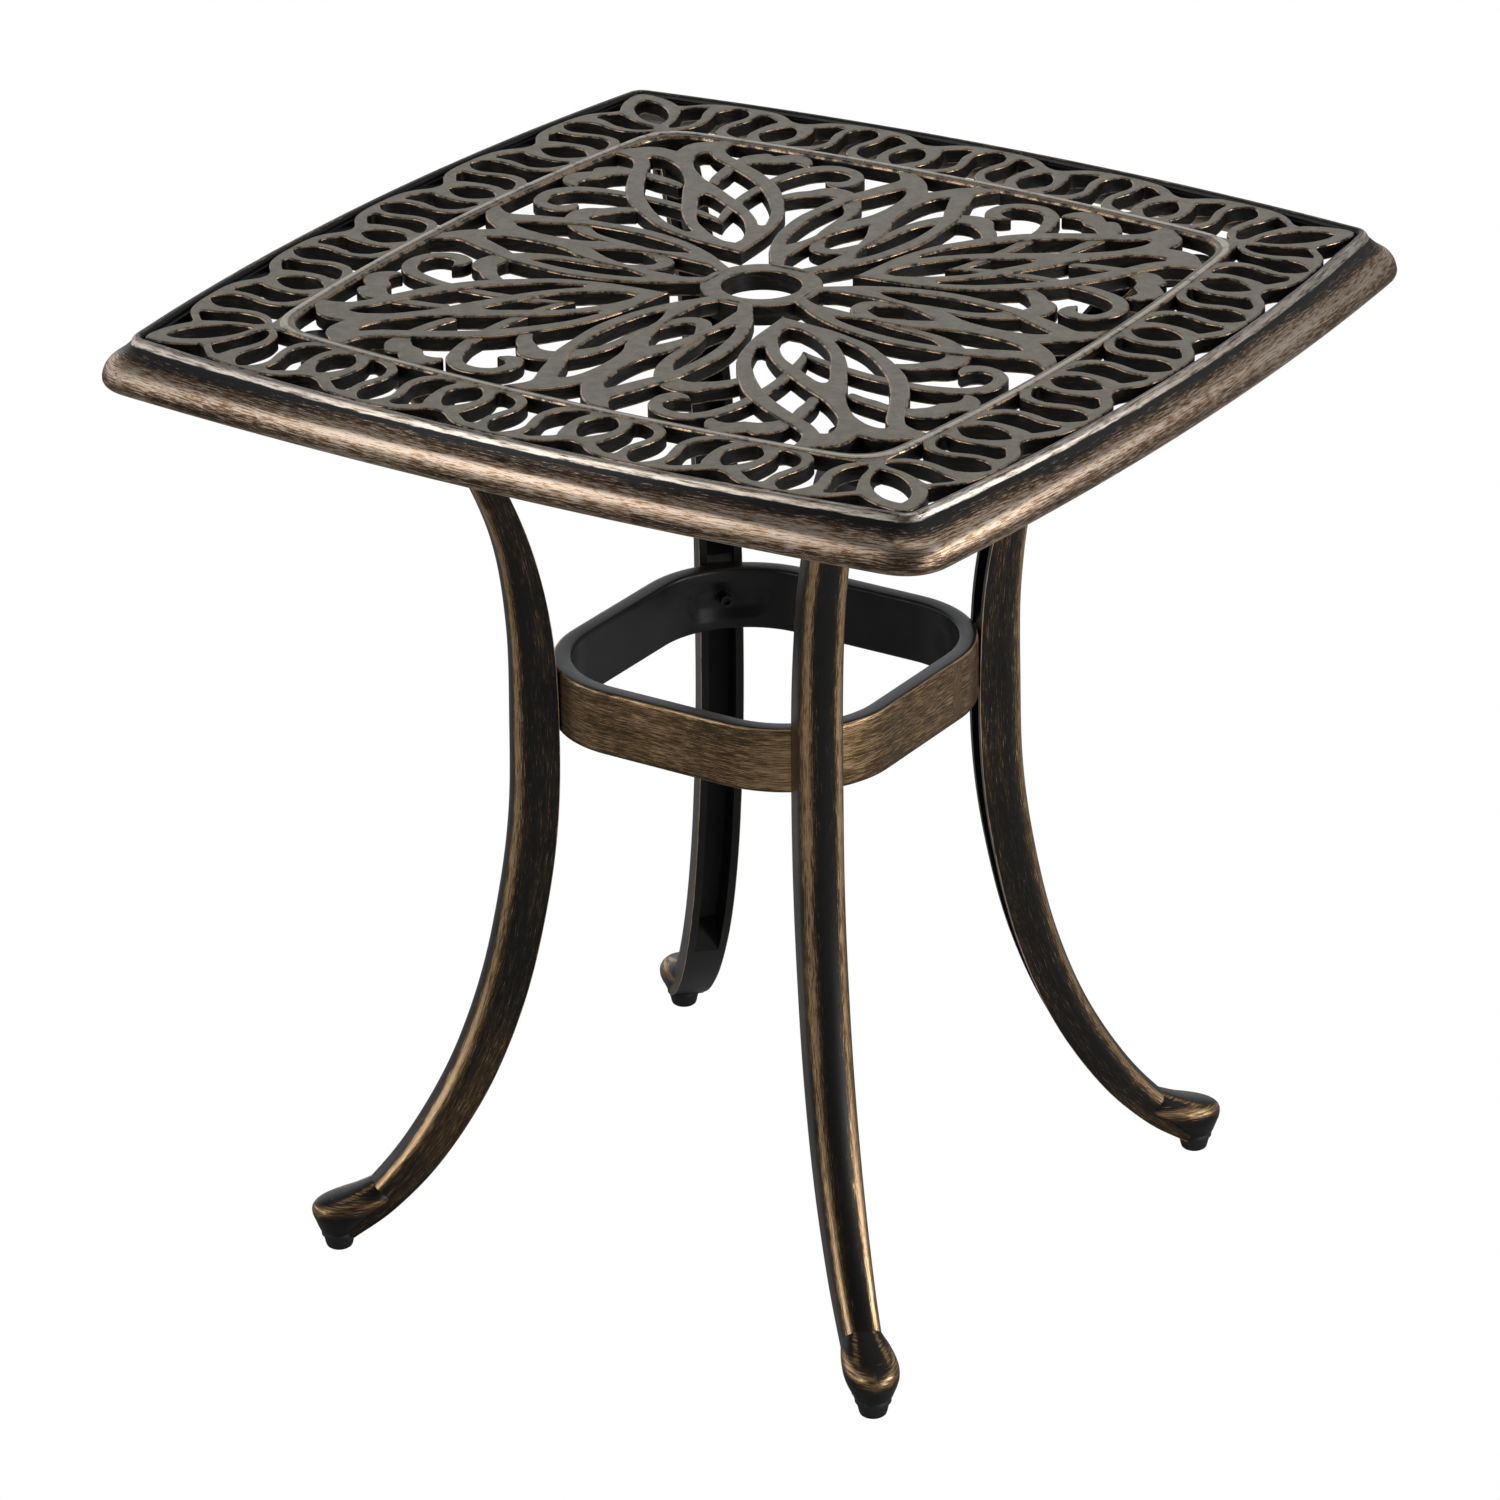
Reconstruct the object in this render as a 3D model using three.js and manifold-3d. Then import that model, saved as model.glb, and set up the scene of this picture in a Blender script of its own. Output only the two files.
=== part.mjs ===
// Cast patio table with an umbrella hole: an openwork top, four curved legs, a ring brace and glides
import * as THREE from 'three';
import { mergeVertices } from 'three/addons/utils/BufferGeometryUtils.js';
import Module from 'manifold-3d';

const wasm = await Module();
wasm.setup();

// Driving dimensions, in millimetres
const overallHeight = 720;
const panelHalf = 306.5;
const panelBow = 24;

// Edge bead and rolled rim of the top
const beadWidth = 7;
const beadCornerCut = 5;
const rimReach = 13;
const rimCornerReach = 20;
const rimHeight = 34.5;
const rimCornerCut = 32;

// Openwork levels below the bead's crest; all of it shares one flat back
const castDepth = 12;
const petalDrop = 1;
const borderDrop = 0.8;
const scrollDrop = 2;

// Ribs of the openwork
const scrollWidth = 11;
const stubWidth = 14;
const hoopWidth = 13;
const frameWidth = 9.5;
const frameHalf = 241;
const frameBow = 16.4;
const frameCornerCut = 27;
const borderUnits = 5;

// Hub round the umbrella hole
const umbrellaHoleRadius = 28;
const hubWall = 15;
const hubDepth = 16;

// Legs, measured along the diagonal of the table
const footOutset = 18.5;
const legWidth = 32.5;
const legDepth = 33;
const legWall = 6;
const channelFloorHeight = 108;
const footPadRadius = 19.5;
const footPadHeight = 28;

// Mounting pad on each leg and the boss above it
const padThickness = 8;
const padWidth = 28;
const padInset = 19;
const padLength = 80;
const padBoltInset = 8.5;
const bossInset = 2;
const bossHeight = 5;
const bossRise = 5;

// Ring brace
const braceHalf = 133;
const braceCornerRadius = 83;
const braceThickness = 14;
const braceHeight = 48;
const braceBottom = 399;
const braceRecessWidth = 60;
const braceRecessHeight = 30;
const braceRecessDepth = 3;
const braceGrip = 3;

// Bolts and washers
const boltDiameter = 6;
const boltClearance = 0.6;
const boltHeadDiameter = 10;
const boltHeadHeight = 6;
const boltSocketWidth = 5;
const boltSocketDepth = 3;
const washerDiameter = 13;
const washerThickness = 1.6;
const topBoltBite = 7;
const braceBoltBite = 18;
const holeEndGap = 1.5;

// Glides
const glideHeight = 14;
const glideLipRadius = 13;
const glideLipHeight = 3.5;
const glideFootRadius = 9.5;
const glideStemRadius = 4;
const glideStemLength = 12;

// Fits and cutting
const seatGap = 0.3;
const overrun = 4;
const weldDistance = 0.0001;

// Finish read from the photograph
const bronze = () => new THREE.MeshStandardMaterial({ color: 0x5c5347, roughness: 0.45, metalness: 0.7 });
const blackPlastic = () => new THREE.MeshStandardMaterial({ color: 0x131313, roughness: 0.7, metalness: 0 });
const blackSteel = () => new THREE.MeshStandardMaterial({ color: 0x232323, roughness: 0.35, metalness: 0.9 });

// Openwork tables: [across, outward] shares of frameHalf, outward being the way to the nearest side.
// A petal and its throat start at roots on the hub, and a half petal is mirrored into a whole one.
const petalRootShare = 0.066;
const petalEdgeShares = [
  [0.162, 0.302], [0.206, 0.433], [0.222, 0.562], [0.212, 0.699], [0.179, 0.833], [0.137, 0.962],
  [0.143, 1.007], [0.181, 1.051],
];
const petalForkShares = [[0.112, 1.051], [0.05, 1.001], [0, 0.93]];
const throatRootShare = 0.025;
const petalThroatShares = [[0.059, 0.237], [0.066, 0.35], [0.051, 0.466], [0, 0.59]];
const petalEyeShares = [
  [0.118, 0.318], [0.157, 0.416], [0.177, 0.57], [0.167, 0.71], [0.124, 0.816], [0.079, 0.92],
  [0.037, 0.82], [0.04, 0.679], [0.077, 0.575], [0.093, 0.429],
];

// Corner petals: [across, outward] on the side of the diagonal nearer the side
const lotusEdgeShares = [
  [0.191, 0.191], [0.208, 0.325], [0.239, 0.475], [0.3, 0.597], [0.408, 0.74], [0.575, 0.853],
  [0.699, 0.915], [0.739, 0.958], [0.749, 1.014],
];
const lotusHookShares = [[0.799, 1.012], [0.845, 0.97], [0.869, 0.903], [0.863, 0.863]];
const lotusEyeShares = [
  [0.276, 0.423], [0.293, 0.502], [0.379, 0.624], [0.512, 0.749], [0.679, 0.843], [0.774, 0.908],
  [0.786, 0.858], [0.704, 0.739], [0.466, 0.585],
];
const lotusThroatShares = [
  [0.258, 0.258], [0.264, 0.312], [0.329, 0.418], [0.431, 0.504], [0.574, 0.574],
];

// Scroll ribs under the petals: centre lines
const scrollShares = [
  [0.408, 0.408], [0.423, 0.458], [0.437, 0.52], [0.452, 0.583], [0.461, 0.633], [0.466, 0.687],
  [0.465, 0.749], [0.461, 0.791], [0.456, 0.833], [0.448, 0.87], [0.435, 0.903], [0.416, 0.939],
  [0.387, 0.966], [0.35, 0.982], [0.312, 0.978], [0.279, 0.962], [0.256, 0.935], [0.25, 0.903],
  [0.258, 0.874], [0.277, 0.856], [0.302, 0.853],
];
const stubShares = [
  [0.608, 0.654], [0.622, 0.716], [0.633, 0.77], [0.638, 0.82], [0.637, 0.866], [0.629, 0.908],
  [0.608, 0.941], [0.579, 0.958], [0.545, 0.974], [0.508, 0.993], [0.475, 0.993],
];
const hoopShares = [
  [0, 0.339], [0.033, 0.354], [0.065, 0.416], [0.083, 0.479], [0.092, 0.541], [0.098, 0.604],
  [0.108, 0.658], [0.129, 0.701], [0.158, 0.741], [0.196, 0.774], [0.237, 0.789], [0.275, 0.778],
  [0.312, 0.751], [0.341, 0.716], [0.354, 0.687],
];

// Border lattice: half a unit, [along the side, outward] from the unit's middle, as shares of the pitch and
// of the band from the inner frame to the bead. An eye lies between two units, and scallops edge them.
const borderEndShare = 0.458;
const slotShares = [
  [0.182, 0.855], [0.361, 0.717], [0.312, 0.381], [0.344, 0.106], [0.202, 0.15], [0.138, 0.36],
];
const slotMiddleShares = [[0, 0.95], [0.128, 0.79], [0.074, 0.395], [0.166, 0.09]];
const eyeShares = [[0, 0.655], [0.111, 0.465], [0.095, 0.25], [0, 0.1]];
const cuspShare = 0.775;
const scallopShare = 1.04;

// Border corners: shares of the way from near the end of the last unit to the bead's corner
const cornerStartShare = 0.13;
const cornerTipShare = 1.036;
const cornerFlankShares = [[0.82, 0.985], [0.42, 0.915], [0.157, 0.788]];
const cornerSlotShares = [
  [-0.305, 0.941], [0.007, 0.674], [-0.151, 0.262], [-0.311, -0.163], [-0.513, 0.1], [-0.493, 0.444],
];
const cornerEyeShares = [[-0.106, -0.106], [-0.055, 0.19], [0.24, 0.585], [0.74, 0.74]];

// Leg stations above the ring brace: [height up to the pad, reach from waist to pad, depth, width]
const legUpperShares = [
  [1.077, 1.113, 0.64, 0.9], [0.887, 0.623, 0.63, 0.92], [0.693, 0.338, 0.65, 0.93],
  [0.463, 0.12, 0.73, 0.96], [0.207, 0.016, 0.9, 0.99],
];

// Leg stations below it: [height up to the ring brace, reach from waist to foot, depth, width]
const legLowerShares = [
  [0.951, 0, 1, 1], [0.781, 0.016, 1, 1], [0.62, 0.077, 0.99, 1], [0.45, 0.185, 0.96, 1],
  [0.291, 0.351, 0.91, 0.98], [0.157, 0.568, 0.83, 0.92], [0.067, 0.783, 0.72, 0.85],
  [0.013, 0.979, 0.62, 0.8],
];

// Half section of a leg: [across, outward] shares of the half width and the half depth
const legSectionShares = [[1, -1], [1, 0.35], [0.82, 0.78], [0.42, 1]];

// Section of the rim: [outline share, height share]; 0 to 1 crosses the bead, 1 to 2 the roll outside it
const rimSectionShares = [
  [0, -0.09], [0.3, 0], [0.75, 0], [1.1, -0.17], [1.5, -0.38], [1.88, -0.6],
  [2, -0.82], [1.75, -1], [0, -0.44],
];

// Section of the inner frame: [width share, height share]
const frameSectionShares = [[-0.5, -1], [-0.5, -0.2], [-0.2, 0], [0.2, 0], [0.5, -0.2], [0.5, -1]];

// Section of the foot pad: [radius share, height share]
const footPadShares = [[0.72, 0], [1, 0.55], [0.98, 0.85], [0.8, 1]];

// Levels and places that follow from the values above. The legs keep to the size of the top.
const footReach = panelHalf + footOutset;
const padReach = panelHalf - padInset;
const petalTop = overallHeight - petalDrop;
const castBottom = overallHeight - castDepth;
const padTop = castBottom - bossHeight;
const padBottom = padTop - seatGap - padThickness;
const hubRadius = umbrellaHoleRadius + hubWall;
const braceReach = (braceHalf - braceCornerRadius) * Math.SQRT2 + braceCornerRadius;
const braceMiddle = braceBottom + braceHeight / 2;
const waistReach = braceReach + legDepth / 2;
const borderEnd = THREE.MathUtils.lerp(frameHalf, panelHalf, borderEndShare);
const borderPitch = (2 * borderEnd) / borderUnits;
const cornerStart = borderEnd - cornerStartShare * borderPitch;
const padInner = padReach - padLength / 2;
const padOuter = padReach + padLength / 2;
const holeSides = 8;
const clearOf = (radius) => radius / Math.cos(Math.PI / holeSides);
const boltHoleRadius = clearOf((boltDiameter + boltClearance) / 2);
const stemHoleRadius = clearOf(glideStemRadius + seatGap);
const glideSeat = glideHeight + seatGap;
const padBoltReaches = [padInner + padBoltInset, padOuter - padBoltInset];
const quarter = Math.PI / 2;

// A closed geometry becomes a solid that can be joined and cut
function solidOf(geometry) {
  const bare = geometry.clone();
  bare.deleteAttribute('normal');
  bare.deleteAttribute('uv');
  const merged = mergeVertices(bare, weldDistance);
  const triangles = [];
  for (let i = 0; i < merged.index.count; i += 3) {
    const [a, b, c] = [0, 1, 2].map((k) => merged.index.getX(i + k));
    if (a !== b && b !== c && c !== a) triangles.push(a, b, c);
  }
  return new wasm.Manifold(new wasm.Mesh({
    numProp: 3,
    vertProperties: new Float32Array(merged.attributes.position.array),
    triVerts: new Uint32Array(triangles),
  }));
}

// A solid becomes a geometry for a mesh
function geometryOf(solid) {
  const { vertProperties, triVerts, numProp } = solid.getMesh();
  const positions = [];
  for (let i = 0; i < vertProperties.length; i += numProp) {
    positions.push(vertProperties[i], vertProperties[i + 1], vertProperties[i + 2]);
  }
  const geometry = new THREE.BufferGeometry();
  geometry.setAttribute('position', new THREE.Float32BufferAttribute(positions, 3));
  geometry.setIndex([...triVerts]);
  geometry.computeVertexNormals();
  return geometry;
}

const joined = (solids) => solids.reduce((sum, next) => sum.add(next));

// Skin over rings of points; a ring has its points anticlockwise as seen from the way the rings advance
function loft(rings, closed = false) {
  const count = rings[0].length;
  const positions = rings.flat().flatMap((p) => [p.x, p.y, p.z]);
  const index = [];
  const spans = closed ? rings.length : rings.length - 1;
  for (let i = 0; i < spans; i += 1) {
    const [a, b] = [i * count, ((i + 1) % rings.length) * count];
    for (let k = 0; k < count; k += 1) {
      const n = (k + 1) % count;
      index.push(a + k, a + n, b + n, a + k, b + n, b + k);
    }
  }
  if (!closed) {
    const last = (rings.length - 1) * count;
    for (let k = 1; k < count - 1; k += 1) {
      index.push(0, k + 1, k, last, last + k, last + k + 1);
    }
  }
  const geometry = new THREE.BufferGeometry();
  geometry.setAttribute('position', new THREE.Float32BufferAttribute(positions, 3));
  geometry.setIndex(index);
  return geometry;
}

// Flat plate with holes, its upper face at height top
function plate(outline, holes, top, depth) {
  const isClockwise = THREE.ShapeUtils.isClockWise;
  const anticlockwise = (points) => (isClockwise(points) ? points.slice().reverse() : points);
  const shape = new THREE.Shape(anticlockwise(outline));
  shape.holes = holes.map((hole) => new THREE.Path(anticlockwise(hole)));
  const geometry = new THREE.ExtrudeGeometry(shape, { depth, bevelEnabled: false });
  geometry.translate(0, 0, top - depth);
  return solidOf(geometry);
}

// Upright round bar from height low to height high
function bar(x, y, radius, low, high, sides) {
  const geometry = new THREE.CylinderGeometry(radius, radius, high - low, sides);
  geometry.rotateX(quarter);
  geometry.translate(x, y, (low + high) / 2);
  return geometry;
}

// Shares of the inner frame to plan points on the side that faces -Y
const planPoint = ([across, outward]) => new THREE.Vector2(across * frameHalf, -outward * frameHalf);
const planPoints = (shares) => shares.map(planPoint);
const mirrored = (shares) => shares.map(([across, outward]) => [-across, outward]).reverse();
const swapped = (shares) => shares.map(([across, outward]) => [outward, across]).reverse();
const flipped = (points) => points.map((point) => new THREE.Vector2(-point.x, point.y));
const turned = (point, turns) => point.clone().rotateAround(new THREE.Vector2(), turns * quarter);

// Rib of even width along a smooth centre line with rounded ends
function rib(shares, width, top, depth, steps) {
  const points = planPoints(shares).map((point) => new THREE.Vector3(point.x, point.y, 0));
  const curve = new THREE.CatmullRomCurve3(points);
  const left = [];
  const right = [];
  for (let i = 0; i <= steps; i += 1) {
    const t = i / steps;
    const at = curve.getPointAt(t);
    const along = curve.getTangentAt(t);
    const side = new THREE.Vector2(-along.y, along.x).multiplyScalar(width / 2);
    left.push(new THREE.Vector2(at.x + side.x, at.y + side.y));
    right.push(new THREE.Vector2(at.x - side.x, at.y - side.y));
  }
  const cap = (t, sign) => {
    const at = curve.getPointAt(t);
    const along = curve.getTangentAt(t).multiplyScalar(sign * width / 2);
    return new THREE.Vector2(at.x + along.x, at.y + along.y);
  };
  return plate([...right, cap(1, 1), ...left.reverse(), cap(0, -1)], [], top, depth);
}

// Bowed square with eased corners: six points on each side and two more on each corner
function bowedSquare(half, bow, cornerCut) {
  const [sideCount, cornerCount] = [6, 2];
  const reach = (x) => half + bow * (1 - (x / half) ** 2);
  const end = half - cornerCut;
  const outline = [];
  for (let turns = 0; turns < 4; turns += 1) {
    for (let i = 0; i < sideCount; i += 1) {
      const x = -end + (2 * end * i) / (sideCount - 1);
      outline.push(turned(new THREE.Vector2(x, -reach(x)), turns));
    }
    const corner = new THREE.QuadraticBezierCurve(
      new THREE.Vector2(end, -reach(end)),
      new THREE.Vector2(half, -half),
      new THREE.Vector2(reach(end), -end),
    );
    for (let i = 1; i <= cornerCount; i += 1) {
      outline.push(turned(corner.getPoint(i / (cornerCount + 1)), turns));
    }
  }
  return outline;
}

// Edge bead with the rolled rim outside it, carried round the panel
function makeRim() {
  const beadInner = bowedSquare(panelHalf, panelBow, beadCornerCut);
  const beadOuter = bowedSquare(panelHalf + beadWidth, panelBow, beadCornerCut + beadWidth);
  const rimHalf = panelHalf + beadWidth + rimCornerReach;
  const rimBow = panelBow + rimReach - rimCornerReach;
  const rimOuter = bowedSquare(rimHalf, rimBow, rimCornerCut);
  const rings = beadInner.map((inner, i) => rimSectionShares.map(([across, height]) => {
    const flat = across <= 1
      ? inner.clone().lerp(beadOuter[i], across)
      : beadOuter[i].clone().lerp(rimOuter[i], across - 1);
    return new THREE.Vector3(flat.x, flat.y, overallHeight + height * rimHeight);
  }));
  return solidOf(loft(rings, true));
}

// Raised frame between the border lattice and the petals
function makeFrame() {
  const inner = bowedSquare(frameHalf - frameWidth / 2, frameBow, frameCornerCut);
  const outer = bowedSquare(frameHalf + frameWidth / 2, frameBow, frameCornerCut + frameWidth / 2);
  const rings = inner.map((point, i) => frameSectionShares.map(([across, level]) => {
    const flat = point.clone().lerp(outer[i], across + 1 / 2);
    return new THREE.Vector3(flat.x, flat.y, overallHeight + level * castDepth);
  }));
  return solidOf(loft(rings, true));
}

// Point of the border lattice on the side that faces -Y, in shares of the pitch and of the band
function borderPoint(unit, [along, outward]) {
  const x = (unit + along) * borderPitch;
  const inner = frameHalf + frameBow * (1 - (x / frameHalf) ** 2);
  const outer = panelHalf + panelBow * (1 - (x / panelHalf) ** 2);
  return new THREE.Vector2(x, -THREE.MathUtils.lerp(inner, outer, outward));
}

// Point near the corner at +X, in shares of the way to the bead's corner
function cornerPoint([across, outward]) {
  const [x, y] = [across, outward].map((share) => THREE.MathUtils.lerp(cornerStart, panelHalf, share));
  return new THREE.Vector2(x, -y);
}

// Outline of the border lattice along one side, from corner to corner
function borderSide() {
  const flank = cornerFlankShares.map(cornerPoint);
  const lastUnit = (borderUnits - 1) / 2;
  const scallops = [];
  for (let unit = -lastUnit; unit <= lastUnit; unit += 1) {
    for (let step = 0; step < 3; step += 1) {
      const t = step / 3;
      const rise = 1 - (2 * t - 1) ** 2;
      scallops.push(borderPoint(unit, [t - 1 / 2, THREE.MathUtils.lerp(cuspShare, scallopShare, rise)]));
    }
  }
  return [
    ...flipped(flank), ...scallops.slice(1), ...flank.slice().reverse(),
    cornerPoint([cornerTipShare, cornerTipShare]),
  ];
}

// Cut-outs of the border lattice along one side
function borderCuts() {
  const slot = cornerSlotShares.map(cornerPoint);
  const cornerEye = [...cornerEyeShares, ...swapped(cornerEyeShares.slice(1, -1))].map(cornerPoint);
  const cuts = [slot, flipped(slot), cornerEye];
  const middle = [...slotMiddleShares, ...mirrored(slotMiddleShares.slice(1))];
  const eye = [...eyeShares, ...mirrored(eyeShares.slice(1, -1))];
  const lastUnit = (borderUnits - 1) / 2;
  for (let unit = -lastUnit; unit <= lastUnit; unit += 1) {
    cuts.push(middle.map((share) => borderPoint(unit, share)));
    if (unit < lastUnit) {
      cuts.push(slotShares.map((share) => borderPoint(unit, share)));
      cuts.push(eye.map((share) => borderPoint(unit + 1 / 2, share)));
      cuts.push(mirrored(slotShares).map((share) => borderPoint(unit + 1, share)));
    }
  }
  return cuts;
}

// Border lattice between the inner frame and the bead, the same on every side
function makeBorder() {
  const outline = [];
  const holes = [];
  for (let turns = 0; turns < 4; turns += 1) {
    outline.push(...borderSide().map((point) => turned(point, turns)));
    for (const cut of borderCuts()) holes.push(cut.map((point) => turned(point, turns)));
  }
  holes.push(bowedSquare(frameHalf, frameBow, frameCornerCut));
  return plate(outline, holes, overallHeight - borderDrop, castDepth - borderDrop);
}

// Petal that points at the middle of a side
function makeSidePetal() {
  const root = [petalRootShare, (umbrellaHoleRadius + hubWall / 2) / frameHalf];
  const half = [root, ...petalEdgeShares, ...petalForkShares];
  const outline = planPoints([...half, ...mirrored(half.slice(0, -1))]);
  const throatRoot = [throatRootShare, (umbrellaHoleRadius + hubWall * 3 / 4) / frameHalf];
  const throatHalf = [throatRoot, ...petalThroatShares];
  const throat = planPoints([...throatHalf, ...mirrored(throatHalf.slice(0, -1))]);
  const eyes = [petalEyeShares, mirrored(petalEyeShares)].map(planPoints);
  return plate(outline, [throat, ...eyes], petalTop, castDepth - petalDrop);
}

// Lotus petal that points at a corner
function makeCornerPetal() {
  const half = [...lotusEdgeShares, ...lotusHookShares];
  const outline = planPoints([...half, ...swapped(half.slice(1, -1))]);
  const throat = planPoints([...lotusThroatShares, ...swapped(lotusThroatShares.slice(1, -1))]);
  const eyes = [lotusEyeShares, swapped(lotusEyeShares)].map(planPoints);
  return plate(outline, [throat, ...eyes], petalTop, castDepth - petalDrop);
}

// Scroll ribs that pass under the petals, for one quarter of the top
function makeScrolls() {
  const top = overallHeight - scrollDrop;
  const depth = castDepth - scrollDrop;
  const ribs = [rib([...mirrored(hoopShares), ...hoopShares.slice(1)], hoopWidth, top, depth, 11)];
  for (const flip of [(shares) => shares, swapped]) {
    ribs.push(rib(flip(scrollShares), scrollWidth, top, depth, 11));
    ribs.push(rib(flip(stubShares), stubWidth, top, depth, 4));
  }
  return joined(ribs);
}

// Stadium plan along the diagonal that runs along +X, from one reach to another
function stadium(innerReach, outerReach, width) {
  const radius = width / 2;
  const shape = new THREE.Shape();
  shape.absarc(outerReach - radius, 0, radius, -quarter, quarter);
  shape.absarc(innerReach + radius, 0, radius, quarter, 3 * quarter);
  return shape.getPoints(2).slice(0, -1);
}

// Boss under the top that one leg's pad is bolted to
function makeBoss() {
  const outline = stadium(padInner + bossInset, padOuter - bossInset, padWidth - 2 * bossInset);
  return plate(outline, [], castBottom + bossRise, bossHeight + bossRise);
}

// Rotates a solid about the table's axis
function spun(solid, angle) {
  const geometry = geometryOf(solid);
  geometry.rotateZ(angle);
  return solidOf(geometry);
}

function makeTop() {
  const hub = solidOf(new THREE.LatheGeometry(
    [
      new THREE.Vector2(umbrellaHoleRadius, petalTop - hubDepth),
      new THREE.Vector2(hubRadius, petalTop - hubDepth),
      new THREE.Vector2(hubRadius, petalTop),
      new THREE.Vector2(umbrellaHoleRadius, petalTop),
      new THREE.Vector2(umbrellaHoleRadius, petalTop - hubDepth),
    ], 20,
  ).rotateX(quarter));
  const pieces = [makeRim(), makeFrame(), makeBorder(), hub];
  const quarterWork = joined([
    makeSidePetal(), makeCornerPetal(), makeScrolls(), spun(makeBoss(), -quarter / 2),
  ]);
  for (let turns = 0; turns < 4; turns += 1) pieces.push(spun(quarterWork, turns * quarter));
  let top = joined(pieces);
  top = top.subtract(solidOf(bar(0, 0, umbrellaHoleRadius, padBottom, overallHeight + overrun, 20)));
  const holes = padBoltReaches.flatMap((reach) => [0, 1, 2, 3].map((turns) => {
    const angle = -quarter / 2 + turns * quarter;
    const [x, y] = [reach * Math.cos(angle), reach * Math.sin(angle)];
    return solidOf(bar(x, y, boltHoleRadius, padTop - overrun, padTop + topBoltBite + holeEndGap, holeSides));
  }));
  return holes.reduce((sum, hole) => sum.subtract(hole), top);
}

// Rings of a leg's section at its stations, for the outside or the channel
function legRings(sectionAt) {
  const upper = legUpperShares.map(([rise, reach]) => [
    THREE.MathUtils.lerp(waistReach, padReach, reach), THREE.MathUtils.lerp(braceMiddle, padBottom, rise),
  ]);
  const lower = legLowerShares.map(([rise, reach]) => [
    THREE.MathUtils.lerp(waistReach, footReach, reach), THREE.MathUtils.lerp(glideSeat, braceMiddle, rise),
  ]);
  const points = [...upper, ...lower].map(([reach, height]) => new THREE.Vector3(reach, 0, height));
  const curve = new THREE.CatmullRomCurve3(points);
  return [...legUpperShares, ...legLowerShares].map(([, , depth, width], i) => {
    const along = curve.getTangent(i / (points.length - 1));
    const outward = new THREE.Vector3(-along.z, 0, along.x);
    return sectionAt(depth * legDepth, width * legWidth).map(([across, out]) => (
      points[i].clone().addScaledVector(outward, out).add(new THREE.Vector3(0, across, 0))
    ));
  });
}

// Outside section of a leg, anticlockwise as seen going down the leg
function legSection(depth, width) {
  const half = legSectionShares.map(([across, out]) => [across * width / 2, out * depth / 2]);
  return [...half, ...half.map(([across, out]) => [-across, out]).reverse()];
}

// Section of the channel that opens on the inner side of a leg
function channelSection(depth, width) {
  const across = width / 2 - legWall;
  const floor = depth / 2 - legWall;
  const mouth = -depth / 2 - overrun;
  return [[across, mouth], [across, floor], [-across, floor], [-across, mouth]];
}

// Box between two corners
function block(low, high) {
  const size = new THREE.Vector3().subVectors(high, low);
  const middle = new THREE.Vector3().addVectors(low, high).multiplyScalar(1 / 2);
  return solidOf(new THREE.BoxGeometry(size.x, size.y, size.z).translate(middle.x, middle.y, middle.z));
}

// Outline of the ring brace, grown by a distance, with one corner on the diagonal along +X
function braceOutline(grow) {
  const radius = braceCornerRadius + grow;
  const centre = braceHalf - braceCornerRadius;
  const outline = [];
  for (let turns = 0; turns < 4; turns += 1) {
    for (let i = 0; i <= 4; i += 1) {
      const angle = (turns + i / 4) * quarter;
      const corner = turned(new THREE.Vector2(centre, centre), turns);
      outline.push(corner.add(new THREE.Vector2(radius * Math.cos(angle), radius * Math.sin(angle))));
    }
  }
  return outline.map((point) => point.rotateAround(new THREE.Vector2(), -quarter / 2));
}

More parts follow.
